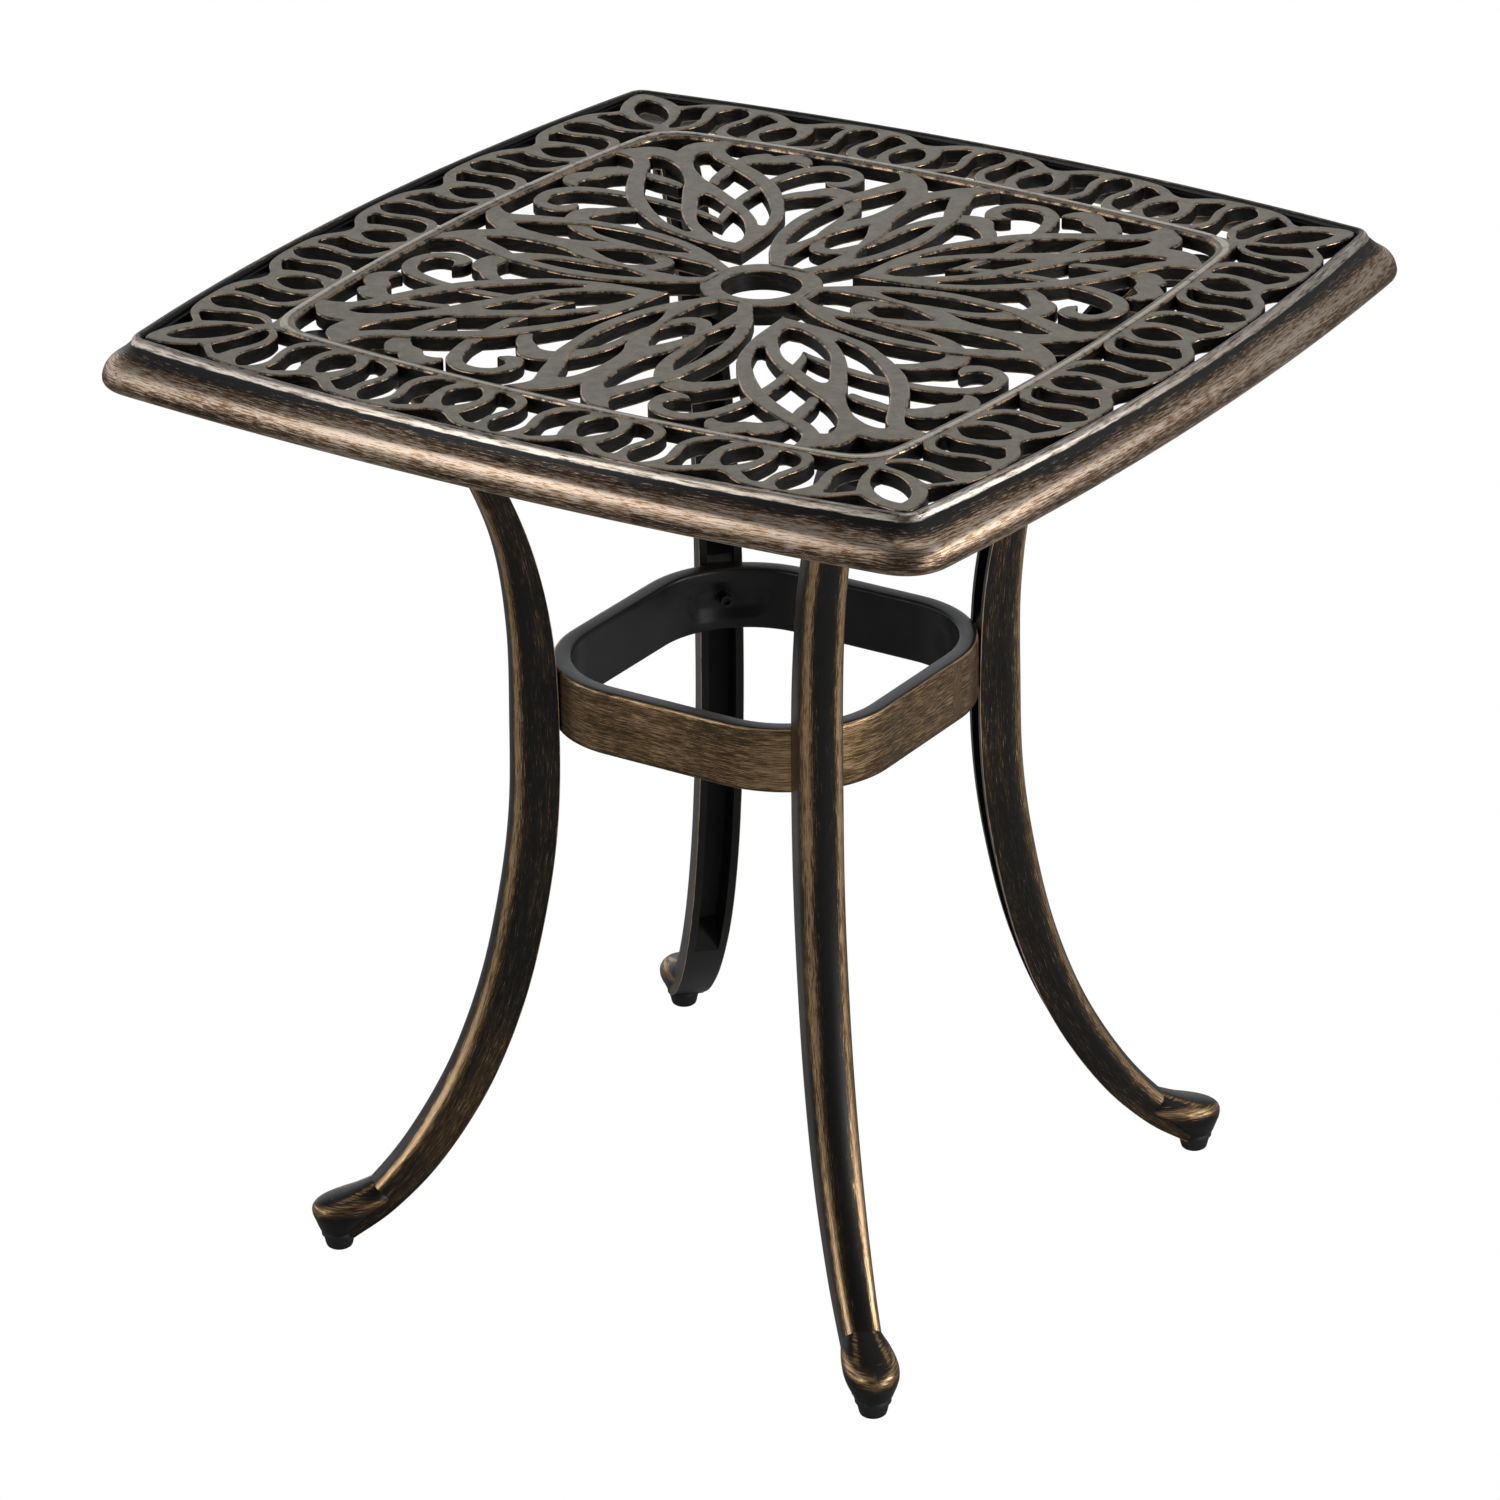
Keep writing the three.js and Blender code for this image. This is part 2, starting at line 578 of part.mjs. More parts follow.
// Leg standing on the diagonal along +X, with its pad, foot, channel and bolt holes
function makeLeg() {
  const body = solidOf(loft(legRings(legSection)));
  const channel = solidOf(loft(legRings(channelSection)));
  const reachEnd = padOuter + overrun;
  const bridge = block(
    new THREE.Vector3(0, -legWidth, braceBottom - braceGrip),
    new THREE.Vector3(reachEnd, legWidth, braceBottom + braceHeight + braceGrip),
  );
  const below = block(
    new THREE.Vector3(0, -legWidth, 0),
    new THREE.Vector3(reachEnd, legWidth, channelFloorHeight),
  );
  const foot = solidOf(new THREE.LatheGeometry([
    new THREE.Vector2(0, glideSeat),
    ...footPadShares.map(([r, h]) => new THREE.Vector2(r * footPadRadius, glideSeat + h * footPadHeight)),
    new THREE.Vector2(0, glideSeat + footPadHeight),
  ], 10).rotateX(quarter).translate(footReach, 0, 0));
  const pad = plate(stadium(padInner, padOuter, padWidth), [], padTop - seatGap, padThickness);
  const ground = block(
    new THREE.Vector3(0, -legWidth, -overrun),
    new THREE.Vector3(footReach + legWidth, legWidth, glideSeat),
  );
  const seatTop = braceBottom + braceHeight + seatGap;
  const braceSeat = plate(braceOutline(seatGap), [], seatTop, braceHeight + 2 * seatGap);
  const boltHole = solidOf(new THREE.CylinderGeometry(
    boltHoleRadius, boltHoleRadius, braceBoltBite + holeEndGap + overrun, holeSides,
  ).rotateZ(quarter).translate(braceReach + (braceBoltBite + holeEndGap - overrun) / 2, 0, braceMiddle));
  let leg = body.subtract(channel.subtract(bridge).subtract(below));
  leg = leg.subtract(block(
    new THREE.Vector3(0, -legWidth, padBottom),
    new THREE.Vector3(reachEnd, legWidth, overallHeight + legDepth),
  ));
  leg = leg.add(foot).add(pad).subtract(ground).subtract(braceSeat).subtract(boltHole);
  const [holeLow, holeHigh] = [padBottom - overrun, padTop + overrun];
  for (const reach of padBoltReaches) {
    leg = leg.subtract(solidOf(bar(reach, 0, boltHoleRadius, holeLow, holeHigh, holeSides)));
  }
  const stemTop = glideHeight + glideStemLength + holeEndGap;
  const stemHole = bar(footReach, 0, stemHoleRadius, glideSeat - overrun, stemTop, holeSides);
  return geometryOf(leg.subtract(solidOf(stemHole)));
}

// Ring brace with a flat recess and a bolt hole at each corner
function makeBrace() {
  let ring = plate(braceOutline(0), [braceOutline(-braceThickness)], braceBottom + braceHeight, braceHeight);
  const recessFloor = braceReach - braceThickness + braceRecessDepth;
  for (let turns = 0; turns < 4; turns += 1) {
    const [across, rise] = [braceRecessWidth / 2, braceRecessHeight / 2];
    const low = new THREE.Vector3(recessFloor - braceThickness * 2, -across, braceMiddle - rise);
    const recess = block(low, new THREE.Vector3(recessFloor, across, braceMiddle + rise));
    const hole = solidOf(new THREE.CylinderGeometry(
      boltHoleRadius, boltHoleRadius, braceThickness * 2, holeSides,
    ).rotateZ(quarter).translate(braceReach - braceThickness / 2, 0, braceMiddle));
    ring = ring.subtract(spun(recess.add(hole), turns * quarter));
  }
  return geometryOf(spun(ring, -quarter / 2));
}

// Socket-head bolt along +Z: head below the origin, shank above it
function makeBolt(length) {
  const head = solidOf(bar(0, 0, boltHeadDiameter / 2, -boltHeadHeight, 0, 8));
  const shank = solidOf(bar(0, 0, boltDiameter / 2, -boltHeadHeight / 2, length, 6));
  const socketRadius = boltSocketWidth / Math.sqrt(3);
  const socketFloor = boltSocketDepth - boltHeadHeight;
  const socket = solidOf(bar(0, 0, socketRadius, -boltHeadHeight - overrun, socketFloor, 6));
  return geometryOf(head.add(shank).subtract(socket));
}

// Flat washer lying on the origin, below it
function makeWasher() {
  const circle = (radius) => new THREE.Path().absarc(0, 0, radius, 0, 4 * quarter).getPoints(4).slice(0, -1);
  return geometryOf(plate(circle(washerDiameter / 2), [circle(boltHoleRadius)], 0, washerThickness));
}

// Plastic glide with a lip under the foot and a stem inside it
function makeGlide() {
  const lipLow = glideHeight - glideLipHeight;
  return geometryOf(solidOf(new THREE.LatheGeometry([
    new THREE.Vector2(0, 0),
    new THREE.Vector2(glideFootRadius, 0),
    new THREE.Vector2(glideLipRadius - glideLipHeight / 2, lipLow),
    new THREE.Vector2(glideLipRadius, lipLow),
    new THREE.Vector2(glideLipRadius, glideHeight),
    new THREE.Vector2(glideStemRadius, glideHeight),
    new THREE.Vector2(glideStemRadius, glideHeight + glideStemLength),
    new THREE.Vector2(0, glideHeight + glideStemLength),
  ], 10).rotateX(quarter)));
}

const table = new THREE.Group();

function addPiece(parent, name, geometry, material) {
  const mesh = new THREE.Mesh(geometry, material);
  mesh.name = name;
  parent.add(mesh);
  return mesh;
}

addPiece(table, 'table_top', geometryOf(makeTop()), bronze());
addPiece(table, 'ring_brace', makeBrace(), bronze());

const cornerNames = ['front', 'right', 'back', 'left'];
const legGeometry = makeLeg();
const glideGeometry = makeGlide();
const washerGeometry = makeWasher();
const topBoltGeometry = makeBolt(washerThickness + padThickness + seatGap + topBoltBite);
const braceWall = braceThickness - braceRecessDepth;
const braceBoltGeometry = makeBolt(washerThickness + braceWall + seatGap + braceBoltBite);

cornerNames.forEach((corner, turns) => {
  const side = new THREE.Group();
  side.rotation.z = -quarter / 2 + turns * quarter;
  table.add(side);
  addPiece(side, `leg_${corner}`, legGeometry, bronze());
  addPiece(side, `glide_${corner}`, glideGeometry, blackPlastic()).position.set(footReach, 0, 0);
  ['inner', 'outer'].forEach((which, i) => {
    const underPad = padBottom - seatGap;
    const washer = addPiece(side, `leg_washer_${corner}_${which}`, washerGeometry, blackSteel());
    washer.position.set(padBoltReaches[i], 0, underPad);
    const bolt = addPiece(side, `leg_bolt_${corner}_${which}`, topBoltGeometry, blackSteel());
    bolt.position.set(padBoltReaches[i], 0, underPad - washerThickness - seatGap);
  });
  const recessFace = braceReach - braceThickness + braceRecessDepth - seatGap;
  const washer = addPiece(side, `brace_washer_${corner}`, washerGeometry, blackSteel());
  washer.position.set(recessFace, 0, braceMiddle);
  washer.rotation.y = quarter;
  const bolt = addPiece(side, `brace_bolt_${corner}`, braceBoltGeometry, blackSteel());
  bolt.position.set(recessFace - washerThickness - seatGap, 0, braceMiddle);
  bolt.rotation.y = quarter;
});

export default table;
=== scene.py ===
import math

import bmesh
import bpy
from mathutils import Matrix, Vector


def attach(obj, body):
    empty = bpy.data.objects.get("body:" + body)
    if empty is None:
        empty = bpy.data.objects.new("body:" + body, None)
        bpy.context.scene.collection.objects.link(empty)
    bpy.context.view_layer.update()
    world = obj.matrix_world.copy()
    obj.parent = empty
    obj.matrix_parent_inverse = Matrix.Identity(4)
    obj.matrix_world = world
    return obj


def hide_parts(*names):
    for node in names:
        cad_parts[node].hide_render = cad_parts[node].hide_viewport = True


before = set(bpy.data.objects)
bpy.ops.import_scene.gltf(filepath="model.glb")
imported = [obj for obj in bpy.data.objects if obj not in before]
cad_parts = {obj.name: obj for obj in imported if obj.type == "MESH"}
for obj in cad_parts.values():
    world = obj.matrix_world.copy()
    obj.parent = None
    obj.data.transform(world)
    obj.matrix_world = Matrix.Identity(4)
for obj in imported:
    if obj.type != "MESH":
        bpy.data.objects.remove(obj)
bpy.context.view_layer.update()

MM = 0.001
CORNERS = ["front", "right", "back", "left"]

# Top, in millimetres: half widths, bows of the sides, corner cuts and levels
TOP = 720.0
PANEL, PANEL_BOW = 306.5, 24.0
FRAME, FRAME_BOW, FRAME_CUT, FRAME_WIDTH = 241.0, 16.4, 27.0, 9.5
FRAME_DEPTH = 12
CREST_WEAR, CREST_WIDTH = 0.75, 0.4
BEAD_WIDTH, BEAD_CUT = 7.0, 5.0
RIM_REACH, RIM_CORNER, RIM_HEIGHT, RIM_CUT = 13.0, 20.0, 34.5, 32.0
CAST_BOTTOM = 708.0
PETAL_TOP, BORDER_TOP, SCROLL_TOP, HUB_TOP = 719.0, 719.2, 718.0, 718.4
HUB_IN, HUB_OUT, HUB_BOTTOM = 28.0, 43.0, 704
PETAL_EDGE_RADIUS, BORDER_EDGE_RADIUS, SCROLL_EDGE_RADIUS, HUB_EDGE_RADIUS = 1.8, 1.3, 1.5, 1.2

# The border has this many units to a side, spaced along a line this share of the way to the bead
UNITS, UNIT_LINE = 5, 0.458
PITCH = 2 * (FRAME + (PANEL - FRAME) * UNIT_LINE) / UNITS

# Legs, measured outward along the diagonal
FOOT_REACH, LEG_WIDTH, LEG_DEPTH, LEG_WALL = 325.0, 32.5, 33.0, 6.0
PAD_REACH, PAD_TOP, PAD_BOTTOM = 287.5, 702.7, 694.7
PAD_WIDTH, PAD_LENGTH, PAD_DEPTH, PAD_EDGE_RADIUS = 28.0, 80.0, 8.0, 1.0
BOSS_INSET, BOSS_DEPTH, BOSS_LAP, BOSS_EDGE_RADIUS = 2, 6.0, 1, 0.8
GLIDE_SEAT = 14.3

# Ring brace
BRACE_HALF, BRACE_RADIUS, BRACE_HIGH, BRACE_LOW = 133.0, 83.0, 48.0, 399.0
BRACE_REACH = (BRACE_HALF - BRACE_RADIUS) * math.sqrt(2) + BRACE_RADIUS
BRACE_MIDDLE = BRACE_LOW + BRACE_HIGH / 2
WAIST = BRACE_REACH + LEG_DEPTH / 2

# Points to each curve
LOOP_STEPS = 3
RUN_STEPS = 4
RIB_STEPS = 6
LEG_STEPS = 8
BAR_STEPS = 12
ARC_STEPS, STRAIGHT_STEPS = 24, 8
SIDE_POINTS, CORNER_POINTS = 26, 9
EDGE_STEPS = 3
HUB_SIDES, FOOT_SIDES, GLIDE_SIDES = 96, 48, 144


def catmull(points, closed, steps):
    """Smooth line through plan points, with an even share of steps to each span."""
    count = len(points)
    spans = count if closed else count - 1

    def at(i):
        if closed:
            return points[i % count]
        if i < 0:
            a, b = points[0], points[1]
            return tuple(2 * p - q for p, q in zip(a, b))
        if i >= count:
            a, b = points[-1], points[-2]
            return tuple(2 * p - q for p, q in zip(a, b))
        return points[i]

    line = []
    for i in range(spans):
        p = [at(i - 1), at(i), at(i + 1), at(i + 2)]
        for s in range(steps):
            t = s / steps
            line.append(tuple(
                0.5 * (2 * b + (c - a) * t + (2 * a - 5 * b + 4 * c - d) * t * t
                       + (3 * b - a - 3 * c + d) * t * t * t)
                for a, b, c, d in zip(*p)))
    if not closed:
        line.append(tuple(points[-1]))
    return line


def loop(points):
    """Closed smooth outline; a point given with a third value is a sharp tip."""
    tips = [i for i, p in enumerate(points) if len(p) == 3]
    flat = [tuple(p[:2]) for p in points]
    if not tips:
        return catmull(flat, True, LOOP_STEPS)
    count = len(flat)
    line = []
    for k, start in enumerate(tips):
        end = tips[(k + 1) % len(tips)]
        if end <= start:
            end += count
        run = [flat[i % count] for i in range(start, end + 1)]
        line.extend(catmull(run, False, LOOP_STEPS)[:-1])
    return line


def lerp(a, b, t):
    return a + (b - a) * t


def step(value, start, width):
    """0 up to the start, then straight up to 1 over the width."""
    return min(1, max(0, (value - start) / width))


def between(value, points):
    """Straight steps through (place, amount) points."""
    for (a, p), (b, q) in zip(points, points[1:]):
        if value <= b:
            return lerp(p, q, max(0.0, (value - a) / (b - a)))
    return points[-1][1]


def turned(points, turns):
    for _ in range(turns % 4):
        points = [(-y, x) for x, y in points]
    return points


def diagonal(i):
    """Turn that takes +X to the diagonal of the named corner."""
    return Matrix.Rotation(-math.pi / 4 + i * math.pi / 2, 4, "Z")


def mesh_from(vertices, faces, flow=None, paint=None):
    """Mesh from millimetre points; flow is a point's place on the brushing, paint its rub and wear,
    part of it painted highlight.
    """
    mesh = bpy.data.meshes.new("part")
    mesh.from_pydata([tuple(c * MM for c in v) for v in vertices], [], faces)
    for name, values, scale in (("flow", flow, MM), ("paint", paint, 1)):
        if values:
            layer = mesh.uv_layers.new(name=name)
            for polygon in mesh.polygons:
                for corner, vertex in zip(polygon.loop_indices, polygon.vertices):
                    layer.data[corner].uv = (values[vertex][0] * scale, values[vertex][1] * scale)
    return mesh


def add_piece(name, mesh, materials, replaced, sharp, weighted=False):
    mesh.name = name
    for material in materials:
        mesh.materials.append(material)
    mesh.shade_smooth()
    mesh.set_sharp_from_angle(angle=math.radians(sharp))
    piece = bpy.data.objects.new(name, mesh)
    bpy.context.scene.collection.objects.link(piece)
    if weighted:
        modifier = piece.modifiers.new("even_normals", "WEIGHTED_NORMAL")
        modifier.keep_sharp = True
        modifier.weight = 90
    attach(piece, "root")
    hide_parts(*replaced)


def join_meshes(meshes):
    """One mesh from several, each given as (mesh, matrix)."""
    work = bmesh.new()
    for mesh, matrix in meshes:
        copy = mesh.copy()
        copy.transform(matrix)
        work.from_mesh(copy)
        bpy.data.meshes.remove(copy)
    joined = bpy.data.meshes.new("joined")
    work.to_mesh(joined)
    work.free()
    return joined


def casting(loops, top, depth, edge):
    """Flat casting with holes and rounded edges; the outer loop comes first."""
    curve = bpy.data.curves.new("casting", "CURVE")
    curve.dimensions = "2D"
    curve.fill_mode = "BOTH"
    curve.extrude = (depth / 2 - edge) * MM
    curve.bevel_depth = edge * MM
    curve.bevel_resolution = EDGE_STEPS - 1
    curve.offset = -edge * MM
    for points in loops:
        spline = curve.splines.new("POLY")
        spline.points.add(len(points) - 1)
        for point, (x, y) in zip(spline.points, points):
            point.co = (x * MM, y * MM, 0, 1)
        spline.use_cyclic_u = True
    holder = bpy.data.objects.new("casting", curve)
    bpy.context.scene.collection.objects.link(holder)
    bpy.context.view_layer.update()
    graph = bpy.context.evaluated_depsgraph_get()
    mesh = bpy.data.meshes.new_from_object(holder.evaluated_get(graph))
    bpy.data.objects.remove(holder)
    bpy.data.curves.remove(curve)
    mesh.transform(Matrix.Translation((0, 0, (top - depth / 2) * MM)))
    for layer in list(mesh.uv_layers):
        mesh.uv_layers.remove(layer)
    return mesh


def loft(rings, capped=False):
    """Skin over rings of points, closed to a loop or capped at both ends."""
    count = len(rings[0])
    vertices = [p for ring in rings for p in ring]
    faces = []
    for i in range(len(rings) - 1 if capped else len(rings)):
        a, b = i * count, ((i + 1) % len(rings)) * count
        for k in range(count):
            n = (k + 1) % count
            faces.append((a + k, a + n, b + n, b + k))
    if capped:
        last = (len(rings) - 1) * count
        faces.append(tuple(reversed(range(count))))
        faces.append(tuple(last + k for k in range(count)))
    return vertices, faces


def lathe(profile, sides):
    """Closed skin turned about +Z from (radius, height) points."""
    vertices, faces = [], []
    for r, z in profile:
        for k in range(sides):
            a = 2 * math.pi * k / sides
            vertices.append((r * math.cos(a), r * math.sin(a), z))
    for i in range(len(profile) - 1):
        for k in range(sides):
            n = (k + 1) % sides
            faces.append((i * sides + k, i * sides + n, (i + 1) * sides + n, (i + 1) * sides + k))
    return vertices, faces


def fixed(mesh):
    """Makes the faces point outward."""
    work = bmesh.new()
    work.from_mesh(mesh)
    bmesh.ops.remove_doubles(work, verts=work.verts, dist=1e-6)
    bmesh.ops.recalc_face_normals(work, faces=work.faces)
    work.to_mesh(mesh)
    work.free()
    return mesh


class Net:
    """Short ways to add shader nodes."""

    def __init__(self, tree):
        self.tree = tree

    def put(self, socket, value):
        if isinstance(value, bpy.types.NodeSocket):
            self.tree.links.new(value, socket)
        else:
            socket.default_value = value

    def math(self, operation, a, b):
        node = self.tree.nodes.new("ShaderNodeMath")
        node.operation = operation
        self.put(node.inputs[0], a)
        self.put(node.inputs[1], b)
        return node.outputs[0]

    def add(self, a, b):
        return self.math("ADD", a, b)

    def times(self, a, b):
        return self.math("MULTIPLY", a, b)

    def less(self, a, b):
        return self.math("SUBTRACT", a, b)

    def along(self, vector, direction):
        """How far a vector points in a direction."""
        node = self.tree.nodes.new("ShaderNodeVectorMath")
        node.operation = "DOT_PRODUCT"
        self.put(node.inputs[0], vector)
        node.inputs[1].default_value = direction
        return node.outputs["Value"]

    def noise(self, vector, scale, detail, roughness):
        node = self.tree.nodes.new("ShaderNodeTexNoise")
        self.put(node.inputs["Vector"], vector)
        node.inputs["Scale"].default_value = scale
        node.inputs["Detail"].default_value = detail
        node.inputs["Roughness"].default_value = roughness
        return node.outputs["Fac"]

    def scaled(self, vector, scale):
        node = self.tree.nodes.new("ShaderNodeMapping")
        self.put(node.inputs["Vector"], vector)
        node.inputs["Scale"].default_value = scale
        return node.outputs[0]

    def ramp(self, value, low, high, to_low=0.0, to_high=1.0):
        node = self.tree.nodes.new("ShaderNodeMapRange")
        node.interpolation_type = "SMOOTHSTEP"
        for socket, number in zip(node.inputs, (value, low, high, to_low, to_high)):
            self.put(socket, number)
        return node.outputs[0]

    def mix(self, factor, a, b):
        node = self.tree.nodes.new("ShaderNodeMix")
        node.data_type = "RGBA"
        self.put(node.inputs[0], factor)
        self.put(node.inputs[6], a)
        self.put(node.inputs[7], b)
        return node.outputs[2]

    def bump(self, height, strength, distance):
        node = self.tree.nodes.new("ShaderNodeBump")
        node.inputs["Strength"].default_value = strength
        node.inputs["Distance"].default_value = distance
        self.put(node.inputs["Height"], height)
        return node.outputs[0]

    def geometry(self, output):
        return self.tree.nodes.new("ShaderNodeNewGeometry").outputs[output]

    def parts(self, vector):
        node = self.tree.nodes.new("ShaderNodeSeparateXYZ")
        self.put(node.inputs[0], vector)
        return node.outputs

    def chart(self, name):
        node = self.tree.nodes.new("ShaderNodeUVMap")
        node.uv_map = name
        return node.outputs[0]

    def place(self):
        return self.tree.nodes.new("ShaderNodeTexCoord").outputs["Object"]


def emptied(tree):
    tree.nodes.clear()
    return Net(tree)


def new_material(name):
    """Material, its shader's sockets and its net of nodes."""
    material = bpy.data.materials.new(name)
    material.use_nodes = True
    tree = material.node_tree
    n = emptied(tree)
    out = tree.nodes.new("ShaderNodeOutputMaterial")
    shader = tree.nodes.new("ShaderNodeBsdfPrincipled")
    tree.links.new(shader.outputs[0], out.inputs[0])
    return material, shader.inputs, n


BLACK = (0.009, 0.009, 0.009, 1)
SOFT_BLACK = (0.013, 0.013, 0.012, 1)
WARM_BLACK = (0.009, 0.008, 0.007, 1)

# Depth of the finest grain in metres
GRAIN_DEPTH = 0.0003


def brushed_bronze(name, bronze, pale, held_back, grain, soft):
    """Black ground with bronze rubbed over it in streaks of a grain, fading softly, and worn edges."""
    material, sockets, n = new_material(name)
    flow = n.chart("flow")
    # The paint chart's rub and wear also carry painted highlights: the bright bands of the legs and
    # feet, and the gleam at the ring's corners
    rub, edge, _ = n.parts(n.chart("paint"))
    fine = n.noise(n.scaled(flow, (grain[0], grain[1], 1)), 1.0, 6.0, 0.75)
    broad = n.noise(n.scaled(flow, (9, 150, 1)), 1.0, 4.0, 0.6)
    patch = n.noise(n.place(), 9.0, 3.0, 0.5)
    uneven = n.add(n.times(n.less(broad, 0.5), 0.35), n.times(n.less(patch, 0.5), 0.4))
    cover = n.add(n.less(n.times(rub, 0.6), held_back), uneven)
    rubbed = n.ramp(n.add(fine, cover), 0.53 - soft, 0.53 + soft)
    bright = n.ramp(n.add(fine, n.times(cover, 0.5)), 0.52, 0.62)
    colour = n.mix(rubbed, WARM_BLACK, bronze)
    colour = n.mix(n.times(bright, 0.6), colour, pale)
    chip = n.noise(n.scaled(flow, (45, 420, 1)), 1.0, 5.0, 0.65)
    worn = n.ramp(n.add(edge, n.times(n.less(chip, 0.5), 1.4)), 0.5, 0.85)
    colour = n.mix(n.times(worn, 0.9), colour, pale)
    n.put(sockets["Base Color"], colour)
    n.put(sockets["Metallic"], n.ramp(n.math("MAXIMUM", rubbed, worn), 0, 0.5, 0.0, 0.95))
    sockets["Specular IOR Level"].default_value = 0.3
    n.put(sockets["Roughness"], n.ramp(fine, 0.3, 0.7, 0.27, 0.4))
    n.put(sockets["Normal"], n.bump(fine, 0.3, GRAIN_DEPTH))
    return material


def flat_bronze():
    """Grey bronze on faces that look up, worn edges, and near-black walls."""
    material, sockets, n = new_material("openwork_bronze")
    up = n.parts(n.geometry("Normal"))[2]
    place = n.place()
    mottle = n.noise(place, 130.0, 5.0, 0.6)
    speck = n.noise(place, 900.0, 3.0, 0.6)
    smear = n.noise(n.scaled(place, (90, 90, 500)), 1.0, 4.0, 0.6)
    face = n.ramp(up, 0.8, 0.96)
    wall = n.ramp(n.math("ABSOLUTE", up, 0.0), 0.05, 0.3)
    edge = n.times(wall, n.less(1.0, face))
    ridge = n.parts(n.chart("paint"))[1]
    worn = n.times(edge, n.ramp(mottle, 0.38, 0.58))
    silver = n.times(ridge, n.ramp(mottle, 0.25, 0.5))
    side = n.mix(n.ramp(smear, 0.45, 0.75), (0.007, 0.007, 0.006, 1), (0.05, 0.03, 0.017, 1))
    top = n.mix(n.ramp(mottle, 0.3, 0.7), (0.158, 0.14, 0.106, 1), (0.224, 0.2, 0.152, 1))
    colour = n.mix(face, side, top)
    colour = n.mix(n.times(worn, 0.8), colour, (0.6, 0.42, 0.27, 1))
    colour = n.mix(silver, colour, (0.6, 0.55, 0.47, 1))
    n.put(sockets["Base Color"], colour)
    n.put(sockets["Metallic"], n.ramp(n.math("MAXIMUM", face, worn), 0, 1, 0.0, 0.85))
    sockets["Specular IOR Level"].default_value = 0.35
    n.put(sockets["Roughness"], n.less(n.ramp(speck, 0.3, 0.7, 0.36, 0.5), n.times(edge, 0.14)))
    n.put(sockets["Normal"], n.bump(speck, 0.15, GRAIN_DEPTH))
    return material


def black_satin():
    """Black cast finish, satin, faintly pebbled."""
    material, sockets, n = new_material("black_satin")
    place = n.place()
    pebble = n.noise(place, 700.0, 3.0, 0.6)
    cloud = n.noise(place, 25.0, 3.0, 0.5)
    n.put(sockets["Base Color"], n.mix(n.ramp(cloud, 0.3, 0.7), BLACK, SOFT_BLACK))
    sockets["Specular IOR Level"].default_value = 0.4
    n.put(sockets["Roughness"], n.ramp(cloud, 0.3, 0.7, 0.3, 0.4))
    n.put(sockets["Normal"], n.bump(pebble, 0.2, GRAIN_DEPTH))
    return material


def black_plastic():
    material, sockets, n = new_material("black_plastic")
    grain = n.noise(n.place(), 1500.0, 2.0, 0.5)
    n.put(sockets["Base Color"], n.mix(grain, (0.01, 0.01, 0.01, 1), (0.02, 0.02, 0.02, 1)))
    n.put(sockets["Roughness"], n.ramp(grain, 0.3, 0.7, 0.45, 0.6))
    n.put(sockets["Normal"], n.bump(grain, 0.2, 0.0002))
    return material


def black_steel():
    material, sockets, n = new_material("black_steel")
    grain = n.noise(n.place(), 2200.0, 3.0, 0.6)
    n.put(sockets["Base Color"], n.mix(grain, (0.02, 0.02, 0.021, 1), (0.05, 0.05, 0.052, 1)))
    sockets["Metallic"].default_value = 0.9
    n.put(sockets["Roughness"], n.ramp(grain, 0.3, 0.7, 0.28, 0.4))
    return material


RIM_BRONZE = brushed_bronze(
    "rim_bronze", bronze=(0.34, 0.2, 0.1, 1), pale=(0.74, 0.67, 0.59, 1),
    held_back=0.36, grain=(80, 1000), soft=0.15)
LEG_BRONZE = brushed_bronze(
    "leg_bronze", bronze=(0.33, 0.195, 0.085, 1), pale=(0.86, 0.61, 0.37, 1),
    held_back=0.38, grain=(70, 1500), soft=0.2)
OPENWORK = flat_bronze()
SATIN = black_satin()
PLASTIC = black_plastic()
STEEL = black_steel()


# Border slots, eyes and scallops in shares of a unit: along the side, then from the frame to the bead
SLOT_RIGHT = [
    (0.176, 0.831), (0.231, 0.848), (0.296, 0.785), (0.356, 0.711), (0.338, 0.635), (0.32, 0.518),
    (0.31, 0.381), (0.312, 0.271), (0.329, 0.189), (0.342, 0.135), (0.315, 0.104), (0.268, 0.122),
    (0.213, 0.159), (0.162, 0.227), (0.131, 0.35), (0.141, 0.446), (0.162, 0.543), (0.176, 0.639),
    (0.174, 0.749),
]
SLOT_MIDDLE = [
    (0, 0.932), (0.045, 0.895), (0.082, 0.835), (0.106, 0.761), (0.111, 0.679), (0.093, 0.569),
    (0.073, 0.446), (0.069, 0.322), (0.093, 0.185), (0.13, 0.117), (0.175, 0.062, 1),
]
EYE = [
    (0, 0.641), (0.041, 0.594), (0.079, 0.52), (0.107, 0.428), (0.114, 0.338), (0.1, 0.252),
    (0.058, 0.168), (0.02, 0.116), (0, 0.105),
]
SCALLOP = [
    (0, 0.985), (0.1, 0.984), (0.2, 0.97), (0.28, 0.943), (0.35, 0.89), (0.4, 0.832),
    (0.445, 0.787), (0.5, 0.765, 1),
]

# A scallop next to a corner is narrower on that side
END_SCALLOP = 0.884

